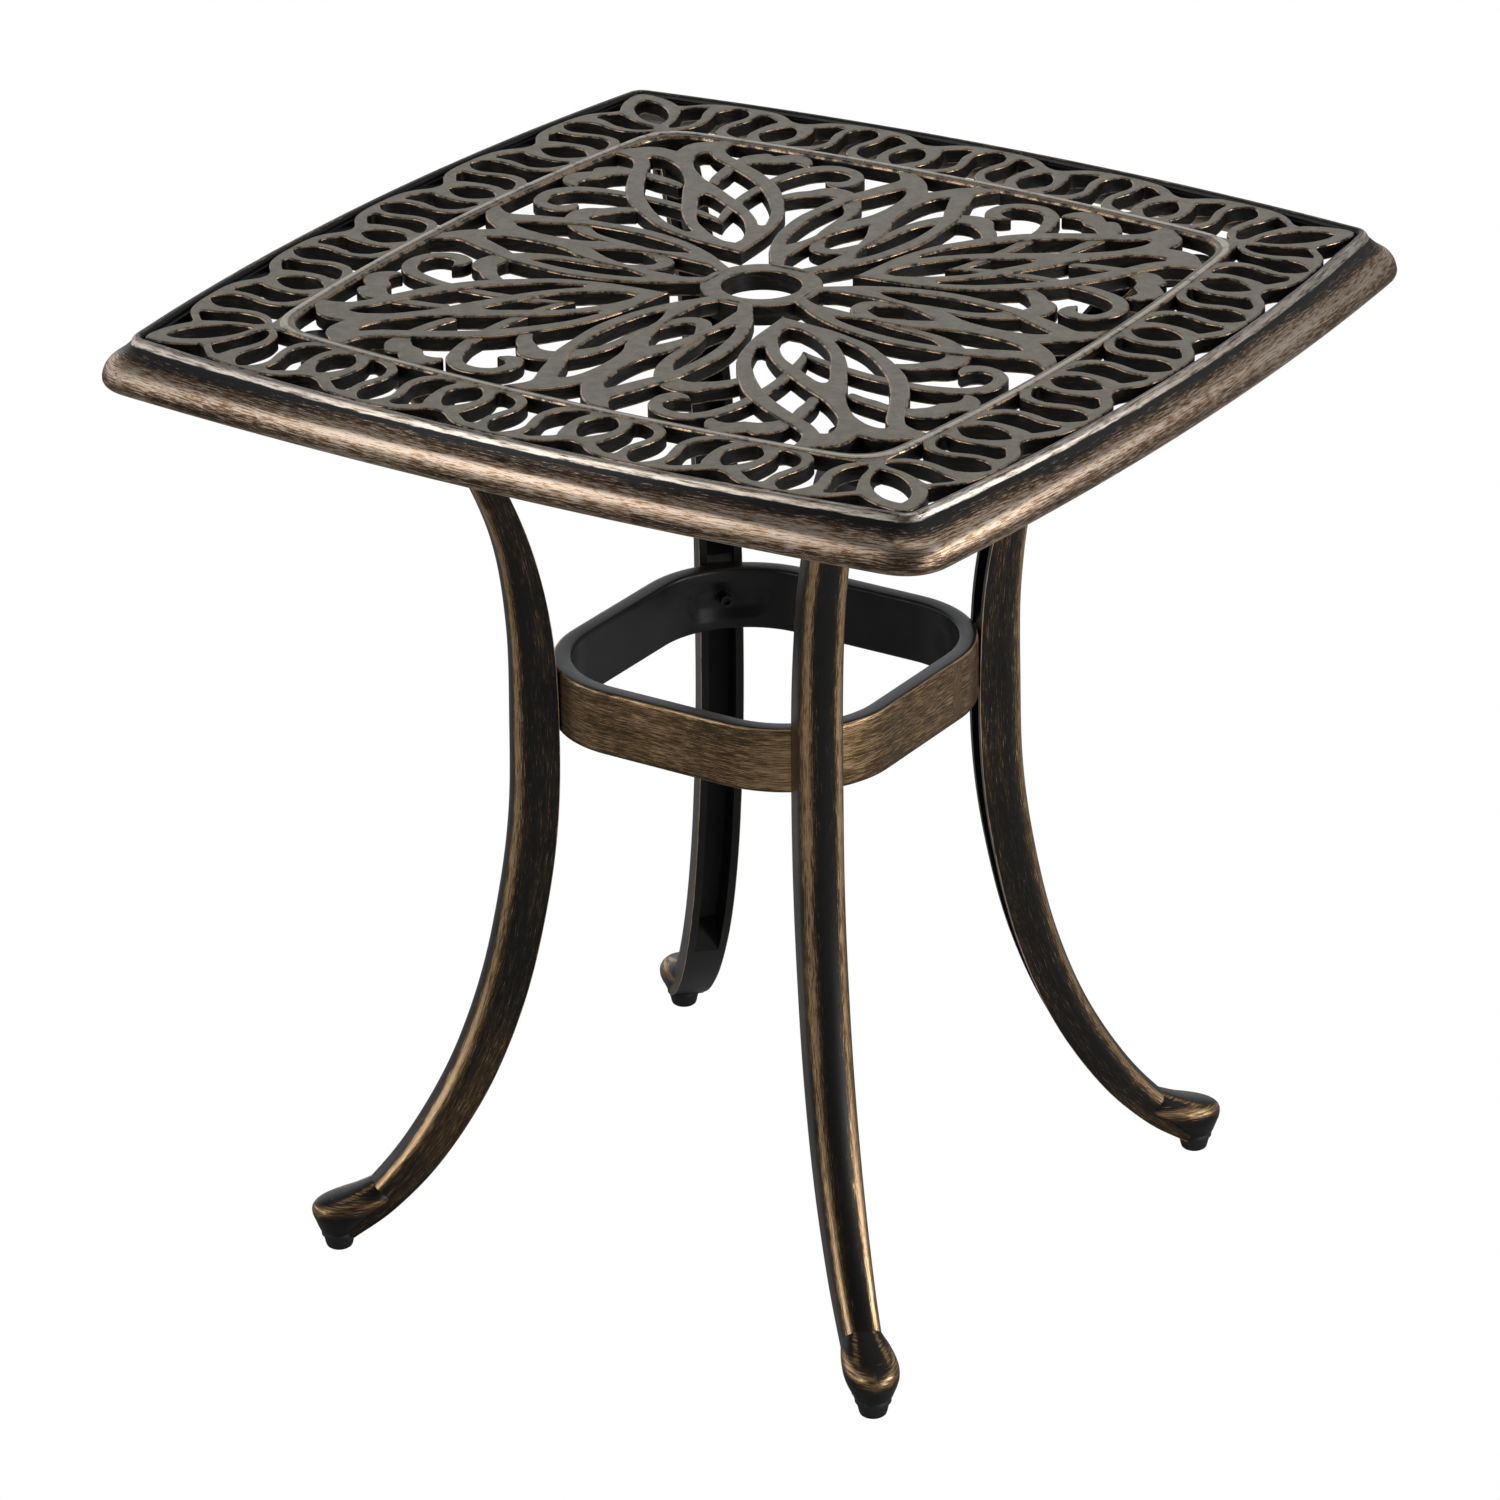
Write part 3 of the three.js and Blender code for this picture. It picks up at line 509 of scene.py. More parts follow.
# Outlines of one side in millimetres: across from its middle, then outward from the umbrella hole
CORNER_SLOT = [
    (242.3, 303.3), (246.6, 301.4), (250.4, 297.9), (255, 293.3), (257, 290.2), (255, 285.5),
    (252.7, 280.9), (250.4, 275.5), (248.1, 269.4), (246.6, 264), (245.8, 258.6), (244.6, 253.9),
    (242.7, 250.8), (240.4, 249.6), (237.3, 252.3), (234.3, 257), (232.3, 261.7), (231.6, 267.1),
    (232, 273.2), (233.1, 278.6), (235, 283.2), (237.3, 287.8), (239.3, 293.3), (240.4, 298.7),
    (241.6, 302.2),
]
CORNER_LOBE = [
    (264.7, 296, 1), (269.7, 299.1), (275.9, 301.8), (282.1, 304.1), (288.2, 305.2), (293.7, 306),
    (299.1, 305.6), (303.8, 303.8),
]
CORNER_EYE = [
    (251.6, 251.6, 1), (252, 257), (252.7, 261.7), (254.3, 266.3), (256.6, 270.9), (259.7, 275.5),
    (263.6, 280.1), (268.2, 284.7), (274.4, 289.1), (280.5, 292.2), (286.7, 293.7), (291.4, 293.7),
    (293.3, 293.3),
]
# A petal and its throat start on the hub
PETAL_ROOT, THROAT_ROOT = (16, 35.5, 1), (6, 39.3, 1)
PETAL_EDGE = [
    (25.7, 50.2), (32.6, 60.2), (38.9, 72.7), (43.2, 82.8), (47.1, 94.1), (50.2, 106.7),
    (52.5, 119.2), (53.5, 130.4), (53.5, 140.5), (52.7, 150.5), (51.7, 161.8), (50.8, 173.1),
    (49.8, 180.6), (47.1, 190.6), (43.2, 200.7), (40.4, 210.7), (37, 220.7), (33.2, 230.8),
    (32.6, 235.8), (34.5, 240.8), (38.2, 245.8), (43.6, 252.8, 1),
]
PETAL_FORK = [
    (26.4, 252.8, 1), (17.6, 246.4), (11.3, 240.2), (6.3, 233.3), (2.5, 227.6), (0, 224.2, 1),
]
PETAL_THROAT = [
    (13.5, 52.7), (14.4, 60.2), (15, 70.2), (15.7, 80.3), (15.5, 90.3), (14.4, 100.3),
    (12.5, 110.4), (9.4, 121.7), (5, 131.7), (0, 141.1, 1),
]
PETAL_EYE = [
    (18.9, 220.5), (15, 217), (11.9, 210.7), (9.8, 202), (8.5, 190.6), (8.3, 180.6), (8.8, 170.6),
    (10.3, 160.5), (13.1, 151.8), (15.7, 147.4), (18.2, 140.5), (20.1, 130.4), (21.4, 120.4),
    (21.7, 110.4), (22.2, 100.3), (23.9, 90.3), (26.4, 82.8), (28.2, 78.4, 1), (30.7, 80.3),
    (33.9, 87.8), (37, 97.8), (39.5, 110.4), (41, 120.4), (42, 130.4), (42.4, 140.5), (42, 150.5),
    (41.1, 160.5), (39.9, 170.6), (37.6, 179.4), (34.5, 186.9), (30.7, 194.4), (27, 203.2),
    (23.2, 212), (20.7, 218.2),
]
LOTUS_EDGE = [
    (46, 46, 1), (47.6, 51.4), (49.7, 73.7), (51.7, 90.3), (54.6, 103.2), (58.1, 115.1),
    (61.7, 125.7), (66.4, 135.1), (72.8, 144.6), (80.6, 156.4), (90, 168.2), (99.4, 178.8),
    (111.3, 188.2), (125.4, 197.7), (139.6, 205.4), (151.4, 211.3), (163.1, 216.6), (170.3, 221.3),
    (175.6, 226), (178.5, 232), (180.3, 237.8), (180.9, 245.8, 1),
]
LOTUS_HOOK = [
    (190.6, 245.3, 1), (198.6, 237.8), (203.9, 233.2), (207.5, 227.2), (209.2, 220.1),
    (208.6, 214.2), (208, 208, 1),
]
LOTUS_EYE = [
    (65.8, 102.7, 1), (64.6, 105), (67, 111.6), (70.5, 119.8), (75.2, 129.2), (82.9, 139.9),
    (92.4, 151.7), (101.8, 161.7), (112.5, 171.8), (125.4, 181.2), (139.6, 190), (151.4, 196.5),
    (163.1, 202.5), (172.7, 207.2), (179.7, 212.5), (185, 217.2, 1), (188.5, 215.4), (189.4, 210.7),
    (188, 203.6), (183.8, 195.3), (178.5, 187.1), (170.3, 178.8), (160.8, 170.6), (151.4, 164),
    (139.6, 157.6), (127.8, 150.5), (116, 142.9), (104.1, 135.7), (92.4, 126.9), (82.9, 118.6),
    (74.6, 110.4), (69.3, 103.8),
]
LOTUS_THROAT = [
    (62.6, 62.6, 1), (62.2, 70.2), (63.7, 74.7), (67, 82.1), (71.1, 89.1), (77.1, 97.4),
    (83.8, 105.8), (92.4, 113.9), (101.8, 119.8), (111.3, 125.3), (120.7, 131.4), (130.1, 136.7),
    (135.6, 138.9), (138.3, 138.3),
]
SCROLL = [
    (92.8, 92.8, 1), (96.8, 103.3), (99.8, 115.4), (102.8, 130.4), (105.8, 150.5), (106.9, 165.5),
    (106.7, 180.6), (106.3, 190.6), (105.3, 198.7), (102.8, 207.7), (100.8, 213.7), (98.3, 219.7),
    (94.3, 225.2), (88.3, 229.8), (81.3, 231.3), (74.2, 230.3), (68.2, 226.7), (66.2, 221.7),
    (66.2, 216.7), (69.2, 212.2), (74.2, 209.7), (78.3, 208.2, 1), (74.2, 203.7), (70.2, 201.7),
    (64.7, 201), (60.2, 202.7), (57.2, 206.7), (54.7, 212.7), (54.5, 219.7), (56.2, 226.7),
    (60.2, 232.8), (65.2, 237.8), (72.2, 241.3), (80.3, 242.8), (88.3, 242.3), (96.3, 238.8),
    (102.3, 233.8), (107.4, 227.7), (110.4, 220.7), (112.4, 213.7), (114.4, 205.7), (115.9, 195.6),
    (116.7, 180.6), (116.6, 165.5), (115.4, 150.5), (112.4, 132.4), (108.9, 117.4),
    (103.3, 103.3, 1),
]
STUB = [
    (150.5, 163.5), (155.5, 175.6), (157.5, 185.6), (159.5, 196.6), (160.5, 207.7), (160.5, 218.7),
    (160, 224.7), (156.5, 230.8), (150.5, 237.8), (145.5, 239.3), (140.5, 237.3, 1), (133.4, 244.8),
    (127.4, 248.8), (120.4, 248.8), (114.4, 245.8), (109.4, 240.8), (106.3, 233.8), (108.4, 228.8),
    (112.4, 230.3), (116.4, 231.3), (121.4, 230.8), (125.4, 227.7), (129.4, 223.2), (134.4, 221.7),
    (139.5, 219.7), (143.5, 215.7), (146.5, 212.2), (148.5, 204.7), (148.5, 194.6), (146.5, 185.6),
    (145.5, 175.6), (143, 163.5),
]
HOOP = [
    (0, 81.8, 13), (8, 85.3, 12), (15.6, 100.3, 10), (20.1, 115.4, 9.4), (22.1, 130.4, 9),
    (23.6, 145.5, 9), (26.1, 158.5, 10), (31.1, 169.1, 13), (38.1, 178.6, 16), (47.2, 187.6, 18),
    (57.2, 190.7, 19.5), (65.2, 188.6, 19), (72.2, 181.1, 14), (79.3, 174.6, 12.5),
    (84.3, 166.5, 11), (86.3, 160.5, 9),
]

# Section of the frame's ridge: share of the width, and of the depth below its crest
FRAME_SECTION = [
    (-0.5, -1), (-0.5, -0.28), (-0.44, -0.16), (-0.3, -0.13), (-0.12, -0.15), (-0.06, -0.09),
    (0.02, -0.01), (0.14, 0), (0.34, 0), (0.44, -0.06), (0.5, -0.2), (0.5, -1),
]

# Section of the rim: 0 to 1 crosses the bead and 1 to 2 the roll, then the share of the rim's height
RIM_LIP = [(-0.4, -0.44), (-0.4, -0.12), (0, -0.12), (0, -0.1)]
RIM_ROLL = [
    (0, -0.09), (0.15, -0.022), (0.33, -0.004), (0.48, -0.001), (0.63, -0.006), (0.86, -0.065),
    (1.1, -0.19), (1.3, -0.3), (1.5, -0.385), (1.7, -0.47), (1.86, -0.6), (1.95, -0.76),
    (1.955, -0.87), (1.87, -0.965), (1.75, -1),
]

# Bronze rubbed on the rim, and wear on the bead's crest, by the share across it
RIM_RUB = [
    (0, 0), (0.2, 0.4), (0.5, 0.5), (0.6, 0.7), (0.95, 0.7), (1.03, 0.05), (1.08, 0.1), (1.15, 0.4),
    (1.3, 0.5), (1.5, 0.75), (1.8, 0.95), (1.95, 0.7), (2, 0.4),
]
RIM_WEAR = [(0, 0), (0.45, 0.15), (0.6, 0.72), (1.0, 0.72), (1.06, 0.1), (1.12, 0)]


def bowed_square(half, bow, cut):
    """Bowed square with eased corners; every size has as many points."""
    def reach(x):
        return half + bow * (1 - (x / half) ** 2)

    end = half - cut
    line = []
    for turns in range(4):
        points = []
        for i in range(SIDE_POINTS):
            x = -end + 2 * end * i / (SIDE_POINTS - 1)
            points.append((x, -reach(x)))
        start, tip, stop = (end, -reach(end)), (half, -half), (reach(end), -end)
        for i in range(1, CORNER_POINTS + 1):
            t = i / (CORNER_POINTS + 1)
            points.append(tuple((1 - t) ** 2 * p + 2 * t * (1 - t) * q + t * t * r
                                for p, q, r in zip(start, tip, stop)))
        line.extend(turned(points, turns))
    return line


def border_point(unit, share):
    x = (unit + share[0]) * PITCH
    inner = FRAME + FRAME_BOW * (1 - (x / FRAME) ** 2)
    outer = PANEL + PANEL_BOW * (1 - (x / PANEL) ** 2)
    return (x, -lerp(inner, outer, share[1])) + tuple(share[2:])


def plan(points):
    """Places given outward from the hole, laid on the front side of the top."""
    return [(p[0], -p[1]) + tuple(p[2:]) for p in points]


def mirrored(points):
    return [(-p[0], p[1]) + tuple(p[2:]) for p in reversed(points)]


def swapped(points):
    """Mirror over the diagonal."""
    return [(p[1], p[0]) + tuple(p[2:]) for p in reversed(points)]


def rib(centre):
    """Outline of a rib along a smooth centre line, given as (across, outward, width) points."""
    line = catmull([(p[0], -p[1], p[2]) for p in centre], False, RIB_STEPS)
    left, right = [], []
    for i, (x, y, width) in enumerate(line):
        a, b = line[max(i - 1, 0)], line[min(i + 1, len(line) - 1)]
        dx, dy = b[0] - a[0], b[1] - a[1]
        size = math.hypot(dx, dy)
        nx, ny = -dy / size * width / 2, dx / size * width / 2
        left.append((x + nx, y + ny))
        right.append((x - nx, y - ny))
    return right + left[::-1]


def border_loops():
    """Outline of the border, its slots and eyes, and the opening inside it."""
    outline, holes = [], []
    last = (UNITS - 1) / 2
    frame_lap = FRAME_WIDTH / 2 - 1
    scallop = mirrored(SCALLOP)[:-1] + SCALLOP
    slot_middle = SLOT_MIDDLE + mirrored(SLOT_MIDDLE)[:-1]
    eye = EYE + mirrored(EYE)[1:-1]
    corner_eye = plan(CORNER_EYE + swapped(CORNER_EYE[1:-1]))
    for turns in range(4):
        points = []
        for k in range(UNITS):
            low = END_SCALLOP if k == 0 else 1
            high = END_SCALLOP if k == UNITS - 1 else 1
            run = [border_point(k - last, (s[0] * (low if s[0] < 0 else high), s[1])) for s in scallop]
            points.extend(catmull(run, False, RUN_STEPS)[:-1])
        bump = [p[:2] for p in plan(CORNER_LOBE + swapped(CORNER_LOBE[:-1]))]
        points.extend(catmull(bump, False, RUN_STEPS)[1:-1])
        outline.extend(turned(points, turns))
        for k in range(UNITS):
            unit = k - last
            slots = [slot_middle]
            if k > 0:
                slots.append(mirrored(SLOT_RIGHT))
            if k < UNITS - 1:
                slots.append(SLOT_RIGHT)
                holes.append(turned(loop([border_point(unit + 0.5, s) for s in eye]), turns))
            for shares in slots:
                holes.append(turned(loop([border_point(unit, s) for s in shares]), turns))
        for shape in (plan(CORNER_SLOT), plan(mirrored(CORNER_SLOT)), corner_eye):
            holes.append(turned(loop(shape), turns))
    return [outline] + holes + [bowed_square(FRAME - frame_lap, FRAME_BOW, FRAME_CUT)]


def petal_castings():
    """The petal of a side and the petal of a corner."""
    half = [PETAL_ROOT] + PETAL_EDGE + PETAL_FORK
    throat = [THROAT_ROOT] + PETAL_THROAT
    side = [plan(half + mirrored(half[:-1])), plan(throat + mirrored(throat[:-1])),
            plan(PETAL_EYE), plan(mirrored(PETAL_EYE))]
    half = LOTUS_EDGE + LOTUS_HOOK
    corner = [plan(half + swapped(half[1:-1])), plan(LOTUS_THROAT + swapped(LOTUS_THROAT[1:-1])),
              plan(LOTUS_EYE), plan(swapped(LOTUS_EYE))]
    depth = PETAL_TOP - CAST_BOTTOM
    return [casting([loop(shape) for shape in shapes], PETAL_TOP, depth, PETAL_EDGE_RADIUS)
            for shapes in (side, corner)]


def scroll_castings():
    """The hoop, scrolls and stubs that lie lower between the petals of a side."""
    outlines = [rib(mirrored(HOOP) + HOOP[1:])]
    outlines += [loop(plan(shape)) for shape in (SCROLL, swapped(SCROLL), STUB, swapped(STUB))]
    return [casting([outline], SCROLL_TOP, SCROLL_TOP - CAST_BOTTOM, SCROLL_EDGE_RADIUS)
            for outline in outlines]


def hub_mesh():
    edge, lip = HUB_EDGE_RADIUS, HUB_EDGE_RADIUS / 3
    return fixed(mesh_from(*lathe([
        (HUB_IN, HUB_BOTTOM), (HUB_OUT, HUB_BOTTOM), (HUB_OUT, HUB_TOP - edge),
        (HUB_OUT - lip, HUB_TOP - lip), (HUB_OUT - edge, HUB_TOP), (HUB_IN + edge, HUB_TOP),
        (HUB_IN + lip, HUB_TOP - lip), (HUB_IN, HUB_TOP - edge), (HUB_IN, HUB_BOTTOM)], HUB_SIDES)))


def ridge_mesh():
    """The raised frame between the border and the petals."""
    inner = bowed_square(FRAME - FRAME_WIDTH / 2, FRAME_BOW, FRAME_CUT)
    outer = bowed_square(FRAME + FRAME_WIDTH / 2, FRAME_BOW, FRAME_CUT + FRAME_WIDTH / 2)
    rings, paint = [], []
    for p, q in zip(inner, outer):
        rings.append([(lerp(p[0], q[0], a + 0.5), lerp(p[1], q[1], a + 0.5), TOP + h * FRAME_DEPTH)
                      for a, h in FRAME_SECTION])
        paint.extend((0, CREST_WEAR if 0 < a < CREST_WIDTH else 0) for a, h in FRAME_SECTION)
    return mesh_from(*loft(rings), None, paint)


def make_openwork():
    here = Matrix.Identity(4)
    depth = BORDER_TOP - CAST_BOTTOM
    parts = [(casting(border_loops(), BORDER_TOP, depth, BORDER_EDGE_RADIUS), here)]
    ornament = petal_castings() + scroll_castings()
    for turns in range(4):
        turn = Matrix.Rotation(turns * math.pi / 2, 4, "Z")
        parts.extend((mesh, turn) for mesh in ornament)
    parts.append((hub_mesh(), here))
    parts.append((ridge_mesh(), here))
    add_piece("top_openwork", join_meshes(parts), [OPENWORK], ["table_top"], 40, True)


def make_rim():
    section = RIM_LIP + catmull(RIM_ROLL, False, RUN_STEPS)
    inner = bowed_square(PANEL, PANEL_BOW, BEAD_CUT)
    middle = bowed_square(PANEL + BEAD_WIDTH, PANEL_BOW, BEAD_CUT + BEAD_WIDTH)
    outer = bowed_square(PANEL + BEAD_WIDTH + RIM_CORNER, PANEL_BOW + RIM_REACH - RIM_CORNER, RIM_CUT)
    rings, flow, paint = [], [], []
    run = 0.0
    for i, (p, q, r) in enumerate(zip(inner, middle, outer)):
        ring = []
        for a, h in section:
            x, y = [lerp(u, v, a) if a <= 1 else lerp(v, w, a - 1) for u, v, w in zip(p, q, r)]
            ring.append((x, y, TOP + h * RIM_HEIGHT))
        rings.append(ring)
        across = 0.0
        for k, point in enumerate(ring):
            if k:
                across += math.dist(point, ring[k - 1])
            flow.append((run, across))
            paint.append((between(section[k][0], RIM_RUB), between(section[k][0], RIM_WEAR)))
        run += math.dist(outer[i], outer[(i + 1) % len(outer)])
    rim = mesh_from(*loft(rings), flow, paint)
    add_piece("top_rim", rim, [RIM_BRONZE], ["table_top"], 50)


# Leg stations above the ring: share of the way up to the pad, share of the reach, depth and width
UPPER = [
    (1.077, 1.113, 0.64, 0.9), (0.887, 0.623, 0.63, 0.92), (0.693, 0.338, 0.65, 0.93),
    (0.463, 0.12, 0.73, 0.96), (0.207, 0.016, 0.9, 0.99),
]

# Leg stations below it: share of the way up from the glide, share of the reach, depth and width
LOWER = [
    (0.951, 0, 1, 1), (0.781, 0.016, 1, 1), (0.62, 0.077, 0.99, 1), (0.45, 0.185, 0.96, 1),
    (0.291, 0.351, 0.91, 0.98), (0.157, 0.568, 0.83, 0.92), (0.067, 0.783, 0.72, 0.85),
    (0.013, 0.979, 0.62, 0.8),
]

# Half section of a leg: shares of the half width and half depth, then bronze rubbed on and wear; the
# peak of rub and wear on the rounded outer face paints the leg's two bright bands as painted
# highlights
LEG_SECTION = [
    ((1, -1), (0.3, 1)), ((1, -0.94), (0.4, 0.2)), ((1, -0.5), (0.45, 0)), ((1, 0.1), (0.38, 0)),
    # Painted highlight: the high rub and wear at (0.84, 0.72) and (0.68, 0.86) make the two bright
    # bands
    ((0.985, 0.32), (0.36, 0)), ((0.94, 0.52), (0.5, 0.05)), ((0.84, 0.72), (0.8, 0.15)),
    ((0.68, 0.86), (1.0, 0.42)), ((0.44, 0.95), (0.4, 0.05)), ((0.2, 0.99), (0.22, 0)),
    ((0, 1), (0.15, 0)),
]

# Channel floor, channel mouth and lip of a leg: chart across the flow, and paint
CHANNEL_CHART = [-30.0, -LEG_WALL, -1.0]
CHANNEL_PAINT = [(0, 0), (0.1, 0.1), (0.1, 0.1)]
LIP_INSET = 1

# The channel starts above the foot and is filled where the ring is bolted on
CHANNEL_START, CHANNEL_RAMP = 100, 12
GRIP_HALF, GRIP_RAMP = 27, 5

# How far a leg runs on past the lower face of its pad
LEG_LAP = 14

# Level sections of a foot: height, middle, half length and half width
FOOT_LEVELS = [
    (14.3, 325, 13.6, 13.6), (18, 324.6, 15.6, 15.2), (23, 323, 19, 17.6), (28, 321, 22.8, 19.3),
    (33, 317.5, 26.4, 19.8), (37, 312, 28.6, 19), (40.3, 305.5, 26.6, 17.3),
    (43.2, 300, 20.6, 15.2), (46.5, 296, 14.6, 13), (51, 290, 9.6, 10),
]

# Bronze and wear on a foot by height, which dips at the sides
FOOT_RUB = [(14, 0.1), (23, 0.15), (28, 0.6), (34, 0.85), (37, 0.35), (44, 0.15), (66, 0.3)]
FOOT_WEAR = [(27, 0), (31, 0.3), (34, 0.35), (37, 0)]
FOOT_DIP = 6
FOOT_RADIUS = 20

# The leg's two bright bands, painted highlights laid on as extra rub and wear, run on over the foot:
# share to the side, half width, rub and wear
HIGHLIGHT_BAND_PLACE, HIGHLIGHT_BAND_HALF, HIGHLIGHT_BAND_RUB, HIGHLIGHT_BAND_WEAR = 0.65, 0.3, 0.95, 0.35
HIGHLIGHT_BAND_START, HIGHLIGHT_BAND_RAMP = 33, 8

# Section of a glide: radius and height
GLIDE_SECTION = [
    (0.001, 0), (8.2, 0), (9.3, 0.9), (10, 3), (11.6, 10.2), (12.9, 10.6), (13, 13), (12.4, 14),
    (4, 14), (4, 26), (0.001, 26),
]

# Ribs round a glide's skirt: how many, share of the radius, and where they run
GLIDE_RIBS, GLIDE_RIB_SHARE = 36, 0.012
SKIRT_LOW, SKIRT_HIGH, SKIRT_INSIDE = 0.5, 10.4, 5


def leg_line():
    """Smooth line of (reach, height, depth, width) from the pad down to the foot."""
    stations = [(lerp(WAIST, PAD_REACH, reach), lerp(BRACE_MIDDLE, PAD_BOTTOM, rise), depth, width)
                for rise, reach, depth, width in UPPER]
    stations += [(lerp(WAIST, FOOT_REACH, reach), lerp(GLIDE_SEAT, BRACE_MIDDLE, rise), depth, width)
                 for rise, reach, depth, width in LOWER]
    return [s for s in catmull(stations, False, LEG_STEPS) if s[1] <= PAD_BOTTOM + LEG_LAP]


def leg_mesh():
    line = leg_line()
    shares = [share for share, _ in LEG_SECTION]
    around = [0.0]
    for a, b in zip(shares, shares[1:]):
        length = math.hypot((b[0] - a[0]) * LEG_WIDTH / 2, (b[1] - a[1]) * LEG_DEPTH / 2)
        around.append(around[-1] + length)
    half_chart = CHANNEL_CHART + around
    chart = half_chart + [2 * around[-1] - v for v in reversed(half_chart[:-1])]
    half_paint = CHANNEL_PAINT + [marks for _, marks in LEG_SECTION]
    rings, flow, paint = [], [], []
    run = 0.0
    for i, (r, z, depth, width) in enumerate(line):
        a, b = line[max(i - 1, 0)], line[min(i + 1, len(line) - 1)]
        tr, tz = b[0] - a[0], b[1] - a[1]
        size = math.hypot(tr, tz)
        nr, nz = -tz / size, tr / size
        w, d = width * LEG_WIDTH / 2, depth * LEG_DEPTH / 2
        if i:
            run += math.hypot(r - line[i - 1][0], z - line[i - 1][1])
        clear_of_ring = step(abs(z - BRACE_MIDDLE), GRIP_HALF, GRIP_RAMP)
        channel = clear_of_ring * step(z, CHANNEL_START, CHANNEL_RAMP)
        floor = lerp(-d, d - LEG_WALL, channel)
        across = w - LEG_WALL
        half = [(across, floor), (across, -d), (w - LIP_INSET, -d)]
        half += [(u * w, v * d) for u, v in shares]
        points = half + [(-u, v) for u, v in reversed(half[:-1])]
        rings.append([(r + nr * v, u, z + nz * v) for u, v in points])
        flow.extend((run, v) for v in chart)
        paint.extend(half_paint + half_paint[-2::-1])
    return fixed(mesh_from(*loft(rings, capped=True), flow, paint))


def foot_mesh():
    """Toe that the leg runs into."""
    rings, flow, paint = [], [], []
    for z, middle, length, width in catmull(FOOT_LEVELS, False, RUN_STEPS):
        ring = []
        for k in range(FOOT_SIDES):
            a = 2 * math.pi * k / FOOT_SIDES
            ring.append((middle + length * math.cos(a), width * math.sin(a), z))
            aside = abs(math.sin(a))
            lift = z - FOOT_DIP * aside
            # Painted highlight: the leg's bright bands carried on over the foot
            highlight_band = max(0, 1 - abs(aside - HIGHLIGHT_BAND_PLACE) / HIGHLIGHT_BAND_HALF) * step(z, HIGHLIGHT_BAND_START, HIGHLIGHT_BAND_RAMP)
            flow.append((a * FOOT_RADIUS, z))
            paint.append((max(between(lift, FOOT_RUB), HIGHLIGHT_BAND_RUB * highlight_band),
                          max(between(lift, FOOT_WEAR), HIGHLIGHT_BAND_WEAR * highlight_band)))
        rings.append(ring)
    return fixed(mesh_from(*loft(rings, capped=True), flow, paint))


def bar_outline(inset):
    """Round-ended bar of a mounting pad, drawn in by an inset."""
    width = PAD_WIDTH - 2 * inset
    inner, outer = PAD_REACH - PAD_LENGTH / 2 + inset, PAD_REACH + PAD_LENGTH / 2 - inset
    points = []
    for middle, start in ((outer - width / 2, -math.pi / 2), (inner + width / 2, math.pi / 2)):
        for k in range(BAR_STEPS + 1):
            a = start + math.pi * k / BAR_STEPS
            points.append((middle + width / 2 * math.cos(a), width / 2 * math.sin(a)))
    return points


def glide_mesh():
    """Glide with fine ribs round its skirt."""
    vertices, faces = lathe(GLIDE_SECTION, GLIDE_SIDES)
    ribbed = []
    for x, y, z in vertices:
        swell = 1.0
        if SKIRT_LOW < z < SKIRT_HIGH and math.hypot(x, y) > SKIRT_INSIDE:
            swell = 1 + GLIDE_RIB_SHARE * math.cos(GLIDE_RIBS * math.atan2(y, x))
        ribbed.append((x * swell, y * swell, z))
    return fixed(mesh_from(ribbed, faces))


def make_legs():
    pad = casting([bar_outline(0)], PAD_TOP, PAD_DEPTH, PAD_EDGE_RADIUS)
    boss = casting([bar_outline(BOSS_INSET)], CAST_BOTTOM + BOSS_LAP, BOSS_DEPTH, BOSS_EDGE_RADIUS)
    leg, foot = leg_mesh(), foot_mesh()
    for i, corner in enumerate(CORNERS):
        turn = diagonal(i)
        mesh = join_meshes([(leg, turn), (foot, turn), (pad, turn)])
        add_piece("cast_leg_" + corner, mesh, [LEG_BRONZE], ["leg_" + corner], 40)
        mesh = join_meshes([(boss, turn)])
        add_piece("top_boss_" + corner, mesh, [SATIN], ["table_top"], 40)


def make_glides():
    glide = glide_mesh()
    for i, corner in enumerate(CORNERS):
        place = diagonal(i) @ Matrix.Translation((FOOT_REACH * MM, 0, 0))
        mesh = join_meshes([(glide, place)])
        add_piece("foot_glide_" + corner, mesh, [PLASTIC], ["glide_" + corner], 40)


# Section of the ring: distance out, height, bronze rubbed on and wear; the inside is added row by row
BRACE_TOP = BRACE_LOW + BRACE_HIGH
RING_OUTSIDE = [
    (-2.2, BRACE_LOW, 0.2, 0), (-0.8, BRACE_LOW + 0.5, 0.5, 0.7), (-0.2, BRACE_LOW + 1.4, 0.5, 0.2),
    (0, BRACE_LOW + 4, 0.64, 0), (0, BRACE_LOW + 16, 0.68, 0), (0, BRACE_TOP - 16, 0.68, 0),
    (0, BRACE_TOP - 4, 0.64, 0), (-0.2, BRACE_TOP - 1.4, 0.66, 0.35),
    (-0.8, BRACE_TOP - 0.5, 0.7, 1), (-2.2, BRACE_TOP, 0.2, 0.2), (-4, BRACE_TOP, 0.05, 0),
    (-11.8, BRACE_TOP, 0, 0), (-13.2, BRACE_TOP - 0.5, 0, 0), (-13.8, BRACE_TOP - 1.4, 0, 0),
]
RING_BASE = [
    (-13.8, BRACE_LOW + 1.4, 0, 0), (-13.2, BRACE_LOW + 0.5, 0, 0), (-11.8, BRACE_LOW, 0, 0),
    (-4, BRACE_LOW, 0, 0),
]
RING_INSIDE, RING_EDGE, RING_ROWS = -14, 1.4, 32

# Recess round each bolt on the inside of the ring
RECESS_DEPTH, RECESS_HALF, RECESS_FLAT, RECESS_RAMP = 3, 20, 6, 11

# More bronze is painted on towards the ring's corners, a painted highlight where the curved ring
# catches reflections
PAINTED_GLEAM, PAINTED_GLEAM_LENGTH = 0.4, 60


